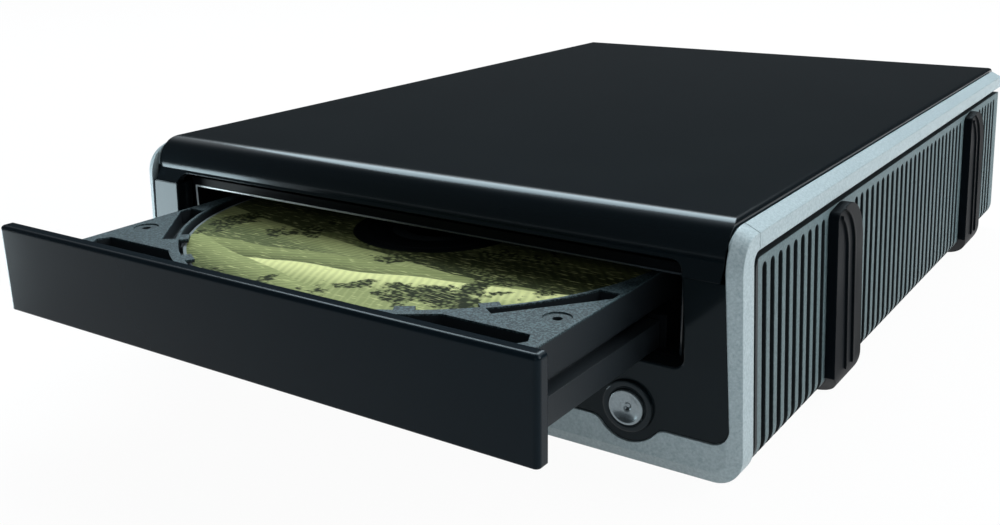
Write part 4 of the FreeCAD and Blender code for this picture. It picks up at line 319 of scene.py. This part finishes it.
@dataclass(frozen=True)
class PrintedDisc(Moulding):
    """Disc label: furrowed hills and woods in yellow and green greys, with a dark hub zone."""

    centre_y_mm: float = 18.0
    hub_mm: float = 20.5
    clear_mm: float = 11.0
    edge_r_mm: float = 59.2
    hub_colour: str = "#141719"
    clear_colour: str = "#202528"
    rim_colour: str = "#7C8486"
    line_mm: float = 0.15         # half the width of a ring's soft edge
    rim_line_mm: float = 0.1      # the same at the clear rim
    sky: str = "#687049"
    glow: str = "#D9DB9E"
    glow_mm: tuple = (-14.0, 16.0)         # centre of the glow in the sky
    glow_r_mm: tuple = (26.0, 6.0)         # where the glow starts and where it is full
    furrow_mm: float = 0.9                 # width of a furrow, which is half a row of the wave pattern
    furrow_row: float = 6.28               # the wave's scale that gives such a row, in furrows
    furrow_tone: tuple = (0.3, -0.12)      # strength and offset of the furrows in the ground's tone
    fall_mm: float = 13.0                  # depth over which a hill darkens below its crest
    crest_mm: float = 0.35                 # softness of a crest's line
    swell_scale: float = 26.0              # per metre: a crest rises and falls every 40 mm or so
    hills: tuple[Hill, ...] = (
        Hill("#757D52", "#434A2F", -3.0, -0.20, 7.0, 1.3, 0.5),
        Hill("#697148", "#2F3521", -13.0, 0.24, 7.0, 4.7, -0.7),
        Hill("#9AA16D", "#565E3D", -22.0, -0.16, 7.0, 9.2, 0.3),
        Hill("#8A9260", "#454C31", -30.0, 0.10, 6.0, 13.6, 1.1),
        Hill("#DADD9C", "#8C9463", -35.0, 0.20, 6.0, 17.9, -0.4),
        Hill("#959D69", "#4C5436", -48.0, -0.30, 5.0, 23.1, 0.8),
    )
    leaf_mm: float = 1.3
    leaf_light: str = "#7A8256"
    leaf_dark: str = "#252B1B"
    leaf_shade: tuple = (0.1, 0.6)         # where in its cell a leaf starts and ends to darken
    woods_scale: float = 48.0              # per metre: woods about 20 mm apart
    woods_edge: tuple = (0.555, 0.585)     # the noise at which woods start and are full
    grass: str = "#C4C88C"
    grass_edge: tuple = (0.55, 0.78)
    grass_turn: float = 0.6
    grass_scale: tuple = (260.0, 1900.0, 1.0)   # per metre: long blades, about half a mm wide

    def hill_socket(self, tree: Tree, centred: Socket, picture: Socket, hill: Hill) -> Socket:
        """Paint one furrowed hill over the picture.

        Args:
            tree: the material's tree.
            centred: coordinates from the disc's centre.
            picture: the picture so far.
            hill: the hill.

        Returns:
            The new picture's socket.
        """
        parts = add_node(tree, "ShaderNodeSeparateXYZ", {0: centred})
        x, y = parts.outputs[0], parts.outputs[1]
        line = add_node(tree, "ShaderNodeCombineXYZ", {0: x, 1: hill.seed})
        wave = add_node(tree, "ShaderNodeTexNoise",
                        {"Vector": line.outputs[0], "Scale": self.swell_scale, "Detail": 2.0,
                         "Roughness": 0.4})
        rise = calc(tree, "MULTIPLY_ADD", wave.outputs[0], 2 * hill.swell_mm * MM,
                    (hill.level_mm - hill.swell_mm) * MM)
        crest_y = calc(tree, "MULTIPLY_ADD", x, hill.slope, rise)
        under = calc(tree, "SUBTRACT", crest_y, y)
        cover = step(tree, under, 0.0, self.crest_mm * MM)
        fall = step(tree, under, 0.0, self.fall_mm * MM)
        aside = add_node(tree, "ShaderNodeMapping",
                         {"Vector": centred, "Rotation": (0.0, 0.0, hill.turn)})
        scale = 1.0 / (self.furrow_mm * self.furrow_row * MM)
        rows = add_node(tree, "ShaderNodeTexWave",
                        {"Vector": aside.outputs[0], "Scale": scale, "Distortion": 2.5, "Detail": 3.0})
        furrow = calc(tree, "MULTIPLY_ADD", rows.outputs[1], *self.furrow_tone)
        depth = calc(tree, "ADD", fall, furrow)
        ground = blend_colours(tree, depth, linear(hill.crest), linear(hill.below))
        return blend_colours(tree, cover, picture, ground)

    def woods_socket(self, tree: Tree, point: Socket, picture: Socket) -> Socket:
        """Paint patches of leaves over the picture."""
        clumps = add_node(tree, "ShaderNodeTexVoronoi",
                          {"Vector": point, "Scale": 1.0 / (self.leaf_mm * MM), "Randomness": 1.0})
        woods = add_node(tree, "ShaderNodeTexNoise",
                         {"Vector": point, "Scale": self.woods_scale, "Detail": 6.0, "Roughness": 0.62})
        leaves = blend_colours(tree, step(tree, clumps.outputs[0], *self.leaf_shade),
                               linear(self.leaf_light), linear(self.leaf_dark))
        return blend_colours(tree, step(tree, woods.outputs[0], *self.woods_edge), picture, leaves)

    def grass_socket(self, tree: Tree, centred: Socket, picture: Socket) -> Socket:
        """Paint fine pale blades over the picture."""
        streaks = add_node(tree, "ShaderNodeMapping",
                           {"Vector": centred, "Rotation": (0.0, 0.0, self.grass_turn),
                            "Scale": self.grass_scale})
        fine = add_node(tree, "ShaderNodeTexNoise",
                        {"Vector": streaks.outputs[0], "Scale": 1.0, "Detail": 2.0})
        share = step(tree, fine.outputs[0], *self.grass_edge)
        return blend_colours(tree, share, picture, linear(self.grass))

    def colour_socket(self, tree: Tree, point: Socket, grain: Socket) -> Socket:
        """Paint the hills over the sky, then the hub and the clear rim."""
        forwards = (CENTRE_Y - self.centre_y_mm) * MM
        centred = add_node(tree, "ShaderNodeMapping",
                           {"Vector": point, "Location": (0.0, forwards, 0.0)}).outputs[0]
        parts = add_node(tree, "ShaderNodeSeparateXYZ", {0: centred})
        x, y = parts.outputs[0], parts.outputs[1]
        sun = distance(tree, calc(tree, "SUBTRACT", x, self.glow_mm[0] * MM),
                       calc(tree, "SUBTRACT", y, self.glow_mm[1] * MM))
        shining = step(tree, sun, *(r * MM for r in self.glow_r_mm))
        picture = blend_colours(tree, shining, linear(self.sky), linear(self.glow))
        for hill in self.hills:
            picture = self.hill_socket(tree, centred, picture, hill)
        picture = self.woods_socket(tree, point, picture)
        picture = self.grass_socket(tree, centred, picture)
        radius = distance(tree, x, y)
        for limit, colour in ((self.hub_mm, self.hub_colour), (self.clear_mm, self.clear_colour)):
            inside = step(tree, radius, (limit + self.line_mm) * MM, (limit - self.line_mm) * MM)
            picture = blend_colours(tree, inside, picture, linear(colour))
        rim = step(tree, radius, (self.edge_r_mm - self.rim_line_mm) * MM,
                   (self.edge_r_mm + self.rim_line_mm) * MM)
        return blend_colours(tree, rim, picture, linear(self.rim_colour))


class Finish(Enum):
    """Every finish on the drive."""

    # Glossy ABS: black, almost a mirror, with the faint long waves of a moulded skin.
    GLOSS = Moulding("glossy_black_abs", "#12181B", "#171E21", 0.1, ior=1.46, shine=0.16,
                     shine_tint="#CFE3EE", grain_mm=14.0, relief_mm=0.003, wear=0.15, edge_mm=0.3)
    # The same ABS on the cover, polished further, so that its roll carries a long soft highlight.
    COVER = Moulding("polished_black_abs", "#0A1115", "#0E161A", 0.16, ior=1.46, shine=0.3,
                     shine_tint="#CFE3EE", grain_mm=14.0, relief_mm=0.003, wear=0.04, edge_mm=0.3)
    # The same ABS on the door, a little softer in its reflections.
    DOOR = Moulding("glossy_black_door_abs", "#0C151B", "#111B21", 0.14, ior=1.46, shine=0.13,
                    shine_tint="#CFE3EE", grain_mm=16.0, relief_mm=0.003, wear=0.15, edge_mm=0.35)
    # Silver lacquer over ABS: satin, with a fine metallic flake.
    SILVER = Moulding("silver_satin_lacquer", "#7A8E95", "#C2D0D3", 0.42, metallic=0.12, shine=0.35,
                      grain_mm=0.55, grain_mix=1.0, relief_mm=0.003, edge_mm=0.4)
    # Spark-eroded grey ABS: matt ribs, with dark slots between them.
    RIBBED = RibbedMoulding("textured_grey_abs", "#3F4E53", "#74888B", 0.55, shine=0.25, grain_mm=0.6,
                            grain_mix=1.0, relief_mm=0.03, edge_mm=0.3)
    # Thermoplastic rubber: nearly black and dull.
    RUBBER = Moulding("thermoplastic_rubber", "#070B0F", "#0B1116", 0.5, shine=0.06,
                      shine_tint="#CFE3EE", grain_mm=0.5, relief_mm=0.008, wear=0.2, edge_mm=0.5)
    # Black structural ABS, lightly textured.
    BLACK = Moulding("textured_black_abs", "#121517", "#1B1F22", 0.42, shine=0.3, grain_mm=0.5,
                     relief_mm=0.01, edge_mm=0.25)
    # Metal lacquer on the button: silver, mirrored dark and light in its dish, with a crisp lit rim.
    BUTTON = Moulding("metal_lacquer", "#55626A", "#A4AFB2", 0.24, metallic=0.8, grain_mm=0.35,
                      grain_mix=0.7, relief_mm=0.006, edge_mm=0.12)
    # Filled ABS of the tray: speckled grey on top, with painted shade on its walls and in its pockets.
    TRAY = TrayMoulding("speckled_tray_abs", "#1C292E", "#4B5D62", 0.45, shine=0.18, grain_mm=0.42,
                        relief_mm=0.012, edge_mm=0.22)
    # Galvanised sheet: grey with a faint spangle.
    SHEET = Moulding("galvanised_sheet", "#6F7678", "#868E90", 0.34, metallic=1.0, grain_mm=5.0,
                     grain_mix=0.8, relief_mm=0.002, edge_mm=0.15)
    # Ground steel of rods and shafts: cool grey, a bright soft mirror.
    STEEL = Moulding("ground_steel", "#8E9296", "#A9ADB0", 0.22, metallic=1.0, grain_mm=0.6,
                     relief_mm=0.002, edge_mm=0.1)
    # Black acetal of the loader frame and its cradle: slick, with a light-catching edge.
    LOADER = Moulding("black_acetal", "#0A0D10", "#101417", 0.4, shine=0.03, grain_mm=0.6,
                      relief_mm=0.004, edge_mm=0.4)
    # Edge of the loader's mouth: the same acetal, its pale colour a painted highlight that fades to the
    # right.
    EDGE_HIGHLIGHT = PaintedHighlightEdge("painted_highlight_edge", "#C6D0D2", "#D6DEDF", 0.25, grain_mm=0.5,
                      relief_mm=0.002, edge_mm=0.15)
    # Natural acetal of the gears: milky white and slick.
    GEAR = Moulding("natural_acetal", "#D9D8CF", "#E8E7DF", 0.38, grain_mm=1.0, relief_mm=0.003,
                    edge_mm=0.1)
    # Belt rubber: black, dull.
    BELT = Moulding("belt_rubber", "#18181A", "#242426", 0.65, grain_mm=0.4, relief_mm=0.006,
                    edge_mm=0.05)
    # Silicone dampers: rust brown rubber, soft in its shine.
    DAMPER = Moulding("silicone_damper", "#5A3A30", "#6C483C", 0.55, grain_mm=0.6, relief_mm=0.006,
                      edge_mm=0.2)
    # Solder mask on glass laminate: green gloss over lighter runs.
    BOARD = CircuitBoard("green_solder_mask", "#0F3B27", "#1E5A3C", 0.3, grain_mm=0.8, relief_mm=0.002,
                         edge_mm=0.05)
    # Moulded epoxy of the chips: nearly black and matt.
    CHIP = Moulding("chip_epoxy", "#1B1C1E", "#27292B", 0.5, grain_mm=0.3, relief_mm=0.004,
                    edge_mm=0.08)
    # Polycarbonate of the pickup's lens, with its violet coating.
    LENS = Moulding("coated_lens", "#2A2440", "#3B3560", 0.04, ior=1.58, grain_mm=3.0, relief_mm=0.0,
                    edge_mm=0.05, coat=1.0)
    # Zinc plated screws: bright with a bluish cast.
    ZINC = Moulding("zinc_plated_steel", "#B4BABF", "#CBD0D4", 0.28, metallic=1.0, grain_mm=0.5,
                    relief_mm=0.002, edge_mm=0.08)
    # Glass filled nylon of the sockets: black, faintly mottled.
    SOCKET = Moulding("black_nylon", "#141518", "#202226", 0.4, grain_mm=0.35, relief_mm=0.006,
                      edge_mm=0.12)
    # Nickel plated spacers: a warm grey mirror.
    NICKEL = Moulding("nickel_plate", "#B9B6AE", "#D0CDC6", 0.2, metallic=1.0, grain_mm=0.8,
                      relief_mm=0.001, edge_mm=0.05)
    # Offset print on the disc: soft yellow and green greys with hardly a shine.
    PRINT = PrintedDisc("printed_disc_label", "#98A06E", "#98A06E", 0.5, shine=0.02, grain_mm=0.4,
                        relief_mm=0.0006, edge_mm=0.1)


def dress(finish: Finish, *nodes: str) -> None:
    """Give carried-over nodes their finish.

    Args:
        finish: the finish.
        nodes: names of the nodes.
    """
    for name in nodes:
        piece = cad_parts[name]
        piece.data.materials.clear()
        piece.data.materials.append(finish.value.material())
        LOG.info("%s: %s", name, finish.value.name)


def clear_selection() -> None:
    """Leave object mode's selection empty."""
    if bpy.context.object and bpy.context.object.mode != "OBJECT":
        bpy.ops.object.mode_set(mode="OBJECT")
    bpy.ops.object.select_all(action="DESELECT")


def finish_piece(piece: bpy.types.Object, name: str, finish: Finish, body: str,
                 replaced: tuple[str, ...] = ()) -> None:
    """Name a modelled piece, put its place into its mesh and make it ride.

    Args:
        piece: the modelled object.
        name: its name.
        finish: its finish.
        body: the body that carries it.
        replaced: nodes that it stands for.
    """
    clear_selection()
    piece.select_set(True)
    bpy.context.view_layer.objects.active = piece
    bpy.ops.object.transform_apply(location=True, rotation=True, scale=True)
    piece.name = name
    piece.data.name = name
    bpy.ops.object.mode_set(mode="EDIT")
    bpy.ops.mesh.select_all(action="SELECT")
    bpy.ops.mesh.remove_doubles(threshold=WELD)
    bpy.ops.mesh.normals_make_consistent(inside=False)
    bpy.ops.object.mode_set(mode="OBJECT")
    bpy.ops.object.shade_smooth_by_angle(angle=math.radians(SMOOTH_DEG))
    piece.data.materials.clear()
    piece.data.materials.append(finish.value.material())
    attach(piece, body)
    if replaced:
        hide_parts(*replaced)
    LOG.info("%s: modelled, rides on %s", name, body)
    clear_selection()


def turned(profile: Outline, steps: int = 96) -> bpy.types.Object:
    """Turn a profile of (radius, height) in mm round Z, at the origin.

    Args:
        profile: the outline, from the axis or round a closed ring.
        steps: how many segments the turn has.

    Returns:
        The turned object.
    """
    clear_selection()
    bpy.ops.mesh.primitive_plane_add(size=MM, location=(0, 0, 0))
    piece = bpy.context.object
    bpy.ops.object.mode_set(mode="EDIT")
    bpy.ops.mesh.select_all(action="SELECT")
    bpy.ops.mesh.merge(type="CENTER")
    bpy.ops.transform.translate(value=(profile[0][0] * MM, 0, profile[0][1] * MM))
    for before, after in zip(profile, profile[1:]):
        move = ((after[0] - before[0]) * MM, 0, (after[1] - before[1]) * MM)
        bpy.ops.mesh.extrude_vertices_move(TRANSFORM_OT_translate={"value": move})
    bpy.ops.mesh.select_all(action="SELECT")
    bpy.ops.mesh.spin(steps=steps, angle=2 * math.pi, center=(0, 0, 0), axis=(0, 0, 1))
    bpy.ops.mesh.select_all(action="SELECT")
    bpy.ops.mesh.remove_doubles(threshold=SEAM)
    bpy.ops.object.mode_set(mode="OBJECT")
    return piece


@dataclass
class DressedGroup:
    """A sub-assembly whose solids only need a finish."""

    finishes: dict[Finish, tuple[str, ...]] = field(default_factory=dict)

    def build(self) -> None:
        """Dress its pieces."""
        for finish, nodes in self.finishes.items():
            dress(finish, *nodes)


@dataclass
class Enclosure(DressedGroup):
    """The case: cover, front panel, silver trim, ribbed sides, base and back."""

    finishes: dict[Finish, tuple[str, ...]] = field(default_factory=lambda: {
        Finish.COVER: ("top_cover",),
        Finish.GLOSS: ("front_panel",),
        Finish.SILVER: ("front_frame", "side_rail_right", "side_rail_left"),
        Finish.RIBBED: ("side_panel_right", "side_panel_left"),
        Finish.RUBBER: ("foot_front_right", "foot_front_left", "foot_rear_right", "foot_rear_left"),
        Finish.BLACK: ("base_plate", "rear_panel"),
    })


@dataclass
class EjectButton:
    """Dished button, its ring on the panel and its stem. Lengths are in mm."""

    x: float = 61.7
    z: float = 15.3
    face: float = -1.2            # front of the button, from the front panel's plane
    radius: float = 3.95
    skirt: float = 2.6            # depth of the button's side
    dish: float = 1.0
    bowl_r: float = 3.4
    bowl_steps: tuple = (1.0, 1.4, 1.8, 2.2, 2.6, 3.0, 3.3)
    dimple_r: float = 0.8
    # share of the dimple's radius, depth below the dish
    dimple: tuple = ((0.0, 0.45), (0.55, 0.38), (0.95, 0.05))
    # inwards from the button's side, depth
    rim: tuple = ((0.5, 0.0), (0.25, 0.03), (0.08, 0.13), (0.0, 0.32))
    stem_r: float = 1.6
    ring_in: float = 4.2
    ring_out: float = 5.75
    ring_front: float = -0.62
    ring_depth: float = 1.2
    # share of half the ring's width, depth
    crest: tuple = ((-0.7, 0.06), (0.0, 0.0), (0.7, 0.08))
    shoulder: tuple = (0.25, 0.35)         # depth at the ring's inside and outside
    spread: tuple = (0.12, 0.18)           # how far its foot spreads, and that foot's height

    def cap_profile(self) -> Outline:
        """Outline of the button, front upwards, from the dimple's centre to the stem's end."""
        dimple = [(self.dimple_r * share, -self.dish - depth) for share, depth in self.dimple]
        bowl = [(r, -self.dish * (1 - (r / self.bowl_r) ** 2)) for r in self.bowl_steps]
        rim = [(self.radius - inset, -depth) for inset, depth in self.rim]
        skirt, reach = self.skirt, self.stem_reach()
        stem = [(self.radius, -skirt), (self.stem_r, -skirt), (self.stem_r, -reach), (0.0, -reach)]
        return dimple + bowl + rim + stem

    def ring_profile(self) -> Outline:
        """Closed outline of the ring, front upwards, rounded to its crest."""
        inner, outer, depth = self.ring_in, self.ring_out, self.ring_depth
        middle, half = (inner + outer) / 2, (outer - inner) / 2
        inside = [(inner, -depth), (inner, -self.shoulder[0])]
        crest = [(middle + half * share, -fall) for share, fall in self.crest]
        foot = [(outer + self.spread[0], -depth + self.spread[1]), (outer, -depth), (inner, -depth)]
        return inside + crest + [(outer, -self.shoulder[1])] + foot

    def stem_reach(self) -> float:
        """Length from the button's front to the end of its stem."""
        low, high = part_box("eject_button")
        return (high[1] - low[1]) / MM

    def stand(self, piece: bpy.types.Object, front: float) -> None:
        """Turn a piece that was made along Z so that it faces the front, and put it in place."""
        upright = Matrix.Rotation(math.radians(90), 4, "X")
        piece.matrix_world = Matrix.Translation(place(self.x, front, self.z)) @ upright

    def build(self) -> None:
        """Model the button and its ring."""
        cap = turned(self.cap_profile())
        self.stand(cap, self.face)
        finish_piece(cap, "button_cap", Finish.BUTTON, "button", ("eject_button",))
        ring = turned(self.ring_profile())
        self.stand(ring, self.ring_front)
        finish_piece(ring, "button_ring", Finish.COVER, "enclosure")


@dataclass
class DiscAndTray:
    """The tray with its door, and the disc in it. Lengths are in mm."""

    centre_y: float = 18.0
    top: float = 40.0             # printed side of the disc
    thick: float = 1.2
    outer: float = 60.0
    hole: float = 7.5
    groove: float = 10.9          # inner edge of the moulded groove at the hub
    groove_deep: float = 0.06
    ring: float = 17.0            # stacking ring
    ring_tall: float = 0.16
    ink_in: float = 20.4          # inner and outer radius of the layer of ink
    ink_out: float = 59.2
    ink: float = 0.02             # its thickness
    break_in: float = 0.1         # broken edges at the hole and at the rim
    break_out: float = 0.12
    segments: int = 160

    def disc_profile(self) -> Outline:
        """Closed outline of the disc's section, with its moulded rings."""
        t, r, hole = self.thick, self.outer, self.hole
        near, far = self.break_in, self.break_out
        # start, end and level of each moulded step, with the width of its slopes
        steps = ((self.groove, self.groove + 0.4, -self.groove_deep),
                 (self.ring - 0.3, self.ring + 0.3, self.ring_tall),
                 (self.ink_in, self.ink_out, self.ink))
        slopes = (0.1, 0.2, 0.1)
        top = [point for (start, end, level), slope in zip(steps, slopes)
               for point in ((start, 0.0), (start + slope, level), (end - slope, level), (end, 0.0))]
        rim = [(r - far, 0.0), (r, -far), (r, -t + far), (r - far, -t)]
        hub = [(hole + near, -t), (hole, -t + near), (hole, -near)]
        return [(hole, -near), (hole + near, 0.0)] + top + rim + hub

    def build(self) -> None:
        """Model the disc and dress the tray and its door."""
        disc = turned(self.disc_profile(), self.segments)
        disc.location = place(0, self.centre_y, self.top)
        finish_piece(disc, "printed_disc", Finish.PRINT, "disc", ("disc",))
        dress(Finish.TRAY, "disc_tray")
        dress(Finish.DOOR, "tray_door")


@dataclass
class LoaderMouth:
    """Edge round the loader's mouth, behind the tray's door, which carries a painted highlight. Lengths
    are in mm.
    """

    half: float = 70.5
    top: float = 43.9
    foot: float = 26.5
    front: float = 5.4            # front face of the loader, behind the front panel
    width: float = 0.5
    proud: float = 0.3            # how far it stands out of that face
    corner: float = 0.12          # its rounded corners

    def build(self) -> None:
        """Model the edge: an inset frame without its lower bar, drawn forwards and rounded."""
        clear_selection()
        wide, tall = 2 * (self.half + self.width), self.top - self.foot + self.width
        bpy.ops.mesh.primitive_plane_add(size=1.0, location=place(0, self.front, self.foot + tall / 2),
                                         rotation=(math.radians(90), 0, 0))
        piece = bpy.context.object
        piece.scale = (wide * MM, tall * MM, 1.0)
        bpy.ops.object.transform_apply(location=True, rotation=True, scale=True)
        bpy.ops.object.mode_set(mode="EDIT")
        bpy.ops.mesh.select_all(action="SELECT")
        bpy.ops.mesh.inset(thickness=self.width * MM, depth=0)
        bpy.ops.mesh.delete(type="ONLY_FACE")
        bpy.ops.mesh.select_all(action="DESELECT")
        bpy.ops.object.mode_set(mode="OBJECT")
        low = min(v.co.z for v in piece.data.vertices)
        for face in piece.data.polygons:
            face.select = face.center.z < low + self.width * MM
        bpy.ops.object.mode_set(mode="EDIT")
        bpy.ops.mesh.delete(type="ONLY_FACE")
        bpy.ops.mesh.select_all(action="SELECT")
        bpy.ops.mesh.delete_loose()
        bpy.ops.mesh.select_all(action="SELECT")
        bpy.ops.mesh.extrude_region_move(TRANSFORM_OT_translate={"value": (0, -self.proud * MM, 0)})
        bpy.ops.mesh.select_all(action="SELECT")
        bpy.ops.mesh.normals_make_consistent(inside=False)
        bpy.ops.mesh.select_all(action="SELECT")
        bpy.ops.mesh.bevel(offset=self.corner * MM, segments=2)
        bpy.ops.object.mode_set(mode="OBJECT")
        # the pale strip stands in for the light caught by the loader's edge: a painted highlight
        finish_piece(piece, "loader_mouth_highlight_edge", Finish.EDGE_HIGHLIGHT, "enclosure")


@dataclass
class Mechanism(DressedGroup):
    """Loader, gears, traverse, pickup and clamp inside the steel case."""

    finishes: dict[Finish, tuple[str, ...]] = field(default_factory=lambda: {
        Finish.SHEET: ("mechanism_tub", "mechanism_lid", "clamp_bridge", "traverse_plate"),
        Finish.LOADER: ("loader_frame", "lift_cradle", "pickup_sled", "clamp_puck", "turntable"),
        Finish.GEAR: ("tray_gear", "belt_pulley", "motor_pulley", "cam_slider"),
        Finish.STEEL: ("guide_rods", "lead_screw", "sled_motor", "spindle_motor", "loading_motor"),
        Finish.BELT: ("drive_belt",),
        Finish.DAMPER: ("traverse_dampers",),
        Finish.LENS: ("pickup_lens",),
    })


@dataclass
class Electronics(DressedGroup):
    """Boards, sockets, switch and screws."""

    finishes: dict[Finish, tuple[str, ...]] = field(default_factory=lambda: {
        Finish.BOARD: ("drive_board", "bridge_board", "switch_board"),
        Finish.CHIP: ("drive_board_parts", "bridge_board_parts", "eject_switch"),
        Finish.SOCKET: ("usb_socket", "dc_jack", "power_switch", "power_rocker", "drive_connector"),
        Finish.NICKEL: ("board_standoffs",),
        Finish.ZINC: ("board_screws", "base_screws"),
    })


@dataclass(frozen=True)
class Lamp:
    """A soft rectangular lamp. Lengths are in metres."""

    name: str
    spot: tuple[float, float, float]
    target: tuple[float, float, float]
    width: float
    height: float
    watts: float
    tone: str

    def hang(self) -> None:
        """Add the lamp and turn it to its target."""
        lamp = bpy.data.lights.new(self.name, "AREA")
        lamp.shape = "RECTANGLE"
        lamp.size = self.width
        lamp.size_y = self.height
        lamp.energy = self.watts
        lamp.color = linear(self.tone)[:3]
        holder = bpy.data.objects.new(self.name, lamp)
        bpy.context.scene.collection.objects.link(holder)
        holder.location = self.spot
        aim = Vector(self.target) - Vector(self.spot)
        holder.rotation_euler = aim.to_track_quat("-Z", "Y").to_euler()


@dataclass
class Studio:
    """Pale floor, soft lamps, dim room and the camera. Lengths are in metres."""

    floor_size: float = 14.0
    floor_drop: float = 0.0002    # keeps the floor clear of the feet
    floor_tone: str = "#ECEDEE"
    floor_glow: float = 0.96      # share of its own light where the camera or a mirror sees it
    dark_room: tuple = (0.04, 0.043, 0.045, 1)
    light_room: tuple = (0.14, 0.155, 0.165, 1)
    room_turn: tuple = (0.5, -0.6)         # y of the direction where the room is dark, and is light
    window: tuple = (1.9, 2.0, 2.08, 1)    # brighter than white paper
    sill: tuple = (0.42, 0.52)             # z of the direction where the window starts, and is full
    overhead: tuple = (-0.1, 0.8)          # y of the direction where it starts, and is full
    eye_mm: tuple = (159.25, -190.25, 116.13)
    right: tuple = (0.8291315, 0.55888235, -0.01383713)
    down: tuple = (0.16097596, -0.26237275, -0.95144484)
    ahead: tuple = (-0.53537621, 0.78664544, -0.30750814)
    lens: float = 40.404          # lens and sensor in mm
    sensor: float = 36.0
    shift: tuple = (0.0016, -0.0028)
    near: float = 0.01            # nothing nearer to the camera is drawn
    lamps: tuple[Lamp, ...] = (
        Lamp("lamp_side", (1.0, 0.42, 0.62), (0.08, 0.05, 0.03), 0.8, 0.6, 9.5, "#FFFFFF"),
        Lamp("lamp_front", (0.5, -1.3, 0.75), (0.0, -0.09, 0.03), 0.6, 0.5, 1.5, "#FFFFFF"),
        # a broad soft light behind and above, which draws the line along the cover's front roll
        Lamp("lamp_strip", (-0.42, 0.60, 0.88), (0.0, -0.09, 0.05), 1.1, 0.42, 11.0, "#DDF2FA"),
        # a small bright card beside the left front corner, which the panel's end mirrors
        Lamp("lamp_card", (-0.150, -0.161, 0.0225), (-0.080, -0.093, 0.046), 0.045, 0.046, 0.11,
             "#E4F4F8"),
    )

    def floor(self) -> None:
        """A wide pale floor that keeps a light shadow."""
        clear_selection()
        bpy.ops.mesh.primitive_plane_add(size=self.floor_size, location=(0, 0, -self.floor_drop))
        floor = bpy.context.object
        floor.name = "studio_floor"
        paper = bpy.data.materials.new("white_paper_floor")
        paper.use_nodes = True
        tree = paper.node_tree
        tree.nodes.clear()
        path = add_node(tree, "ShaderNodeLightPath")
        seen = calc(tree, "MAXIMUM", path.outputs["Is Camera Ray"],
                    calc(tree, "MAXIMUM", path.outputs["Is Glossy Ray"],
                         path.outputs["Is Transmission Ray"]))
        glow = add_node(tree, "ShaderNodeEmission", {"Color": (1, 1, 1, 1), "Strength": 1.0})
        matt = add_node(tree, "ShaderNodeBsdfDiffuse", {"Color": linear(self.floor_tone)})
        share = calc(tree, "MULTIPLY", seen, self.floor_glow)
        mixed = add_node(tree, "ShaderNodeMixShader",
                         {0: share, 1: matt.outputs[0], 2: glow.outputs[0]})
        add_node(tree, "ShaderNodeOutputMaterial", {"Surface": mixed.outputs[0]})
        floor.data.materials.append(paper)

    def room(self) -> None:
        """A dim room with a high soft window behind the object."""
        world = bpy.data.worlds.new("dim_room")
        bpy.context.scene.world = world
        world.use_nodes = True
        tree = world.node_tree
        tree.nodes.clear()
        towards = add_node(tree, "ShaderNodeTexCoord").outputs["Generated"]
        parts = add_node(tree, "ShaderNodeSeparateXYZ", {0: towards})
        back, up = parts.outputs[1], parts.outputs[2]
        lit = step(tree, back, *self.room_turn)
        walls = blend_colours(tree, lit, self.dark_room, self.light_room)
        # the window is sharp at its sill and fades overhead
        opening = calc(tree, "MULTIPLY", step(tree, up, *self.sill), step(tree, back, *self.overhead))
        colour = blend_colours(tree, opening, walls, self.window)
        ground = add_node(tree, "ShaderNodeBackground", {"Color": colour, "Strength": 1.0})
        add_node(tree, "ShaderNodeOutputWorld", {"Surface": ground.outputs[0]})

    def camera(self) -> None:
        """The camera at the photograph's place."""
        data = bpy.data.cameras.new("camera")
        data.sensor_width = self.sensor
        data.lens = self.lens
        data.shift_x, data.shift_y = self.shift
        data.clip_start = self.near
        holder = bpy.data.objects.new("camera", data)
        bpy.context.scene.collection.objects.link(holder)
        turn = Matrix((self.right, [-v for v in self.down], [-v for v in self.ahead])).transposed()
        holder.matrix_world = Matrix.Translation(place(*self.eye_mm)) @ turn.to_4x4()
        bpy.context.scene.camera = holder

    def build(self) -> None:
        """Set up the studio."""
        bpy.context.scene.view_settings.view_transform = "Standard"
        self.floor()
        for lamp in self.lamps:
            lamp.hang()
        self.room()
        self.camera()


def main() -> None:
    """Build the drive and its studio in order."""
    clear_selection()
    for part in (Enclosure(), EjectButton(), DiscAndTray(), LoaderMouth(), Mechanism(), Electronics(),
                 Studio()):
        part.build()
        LOG.info("%s done", type(part).__name__)


if __name__ == "__main__":
    main()
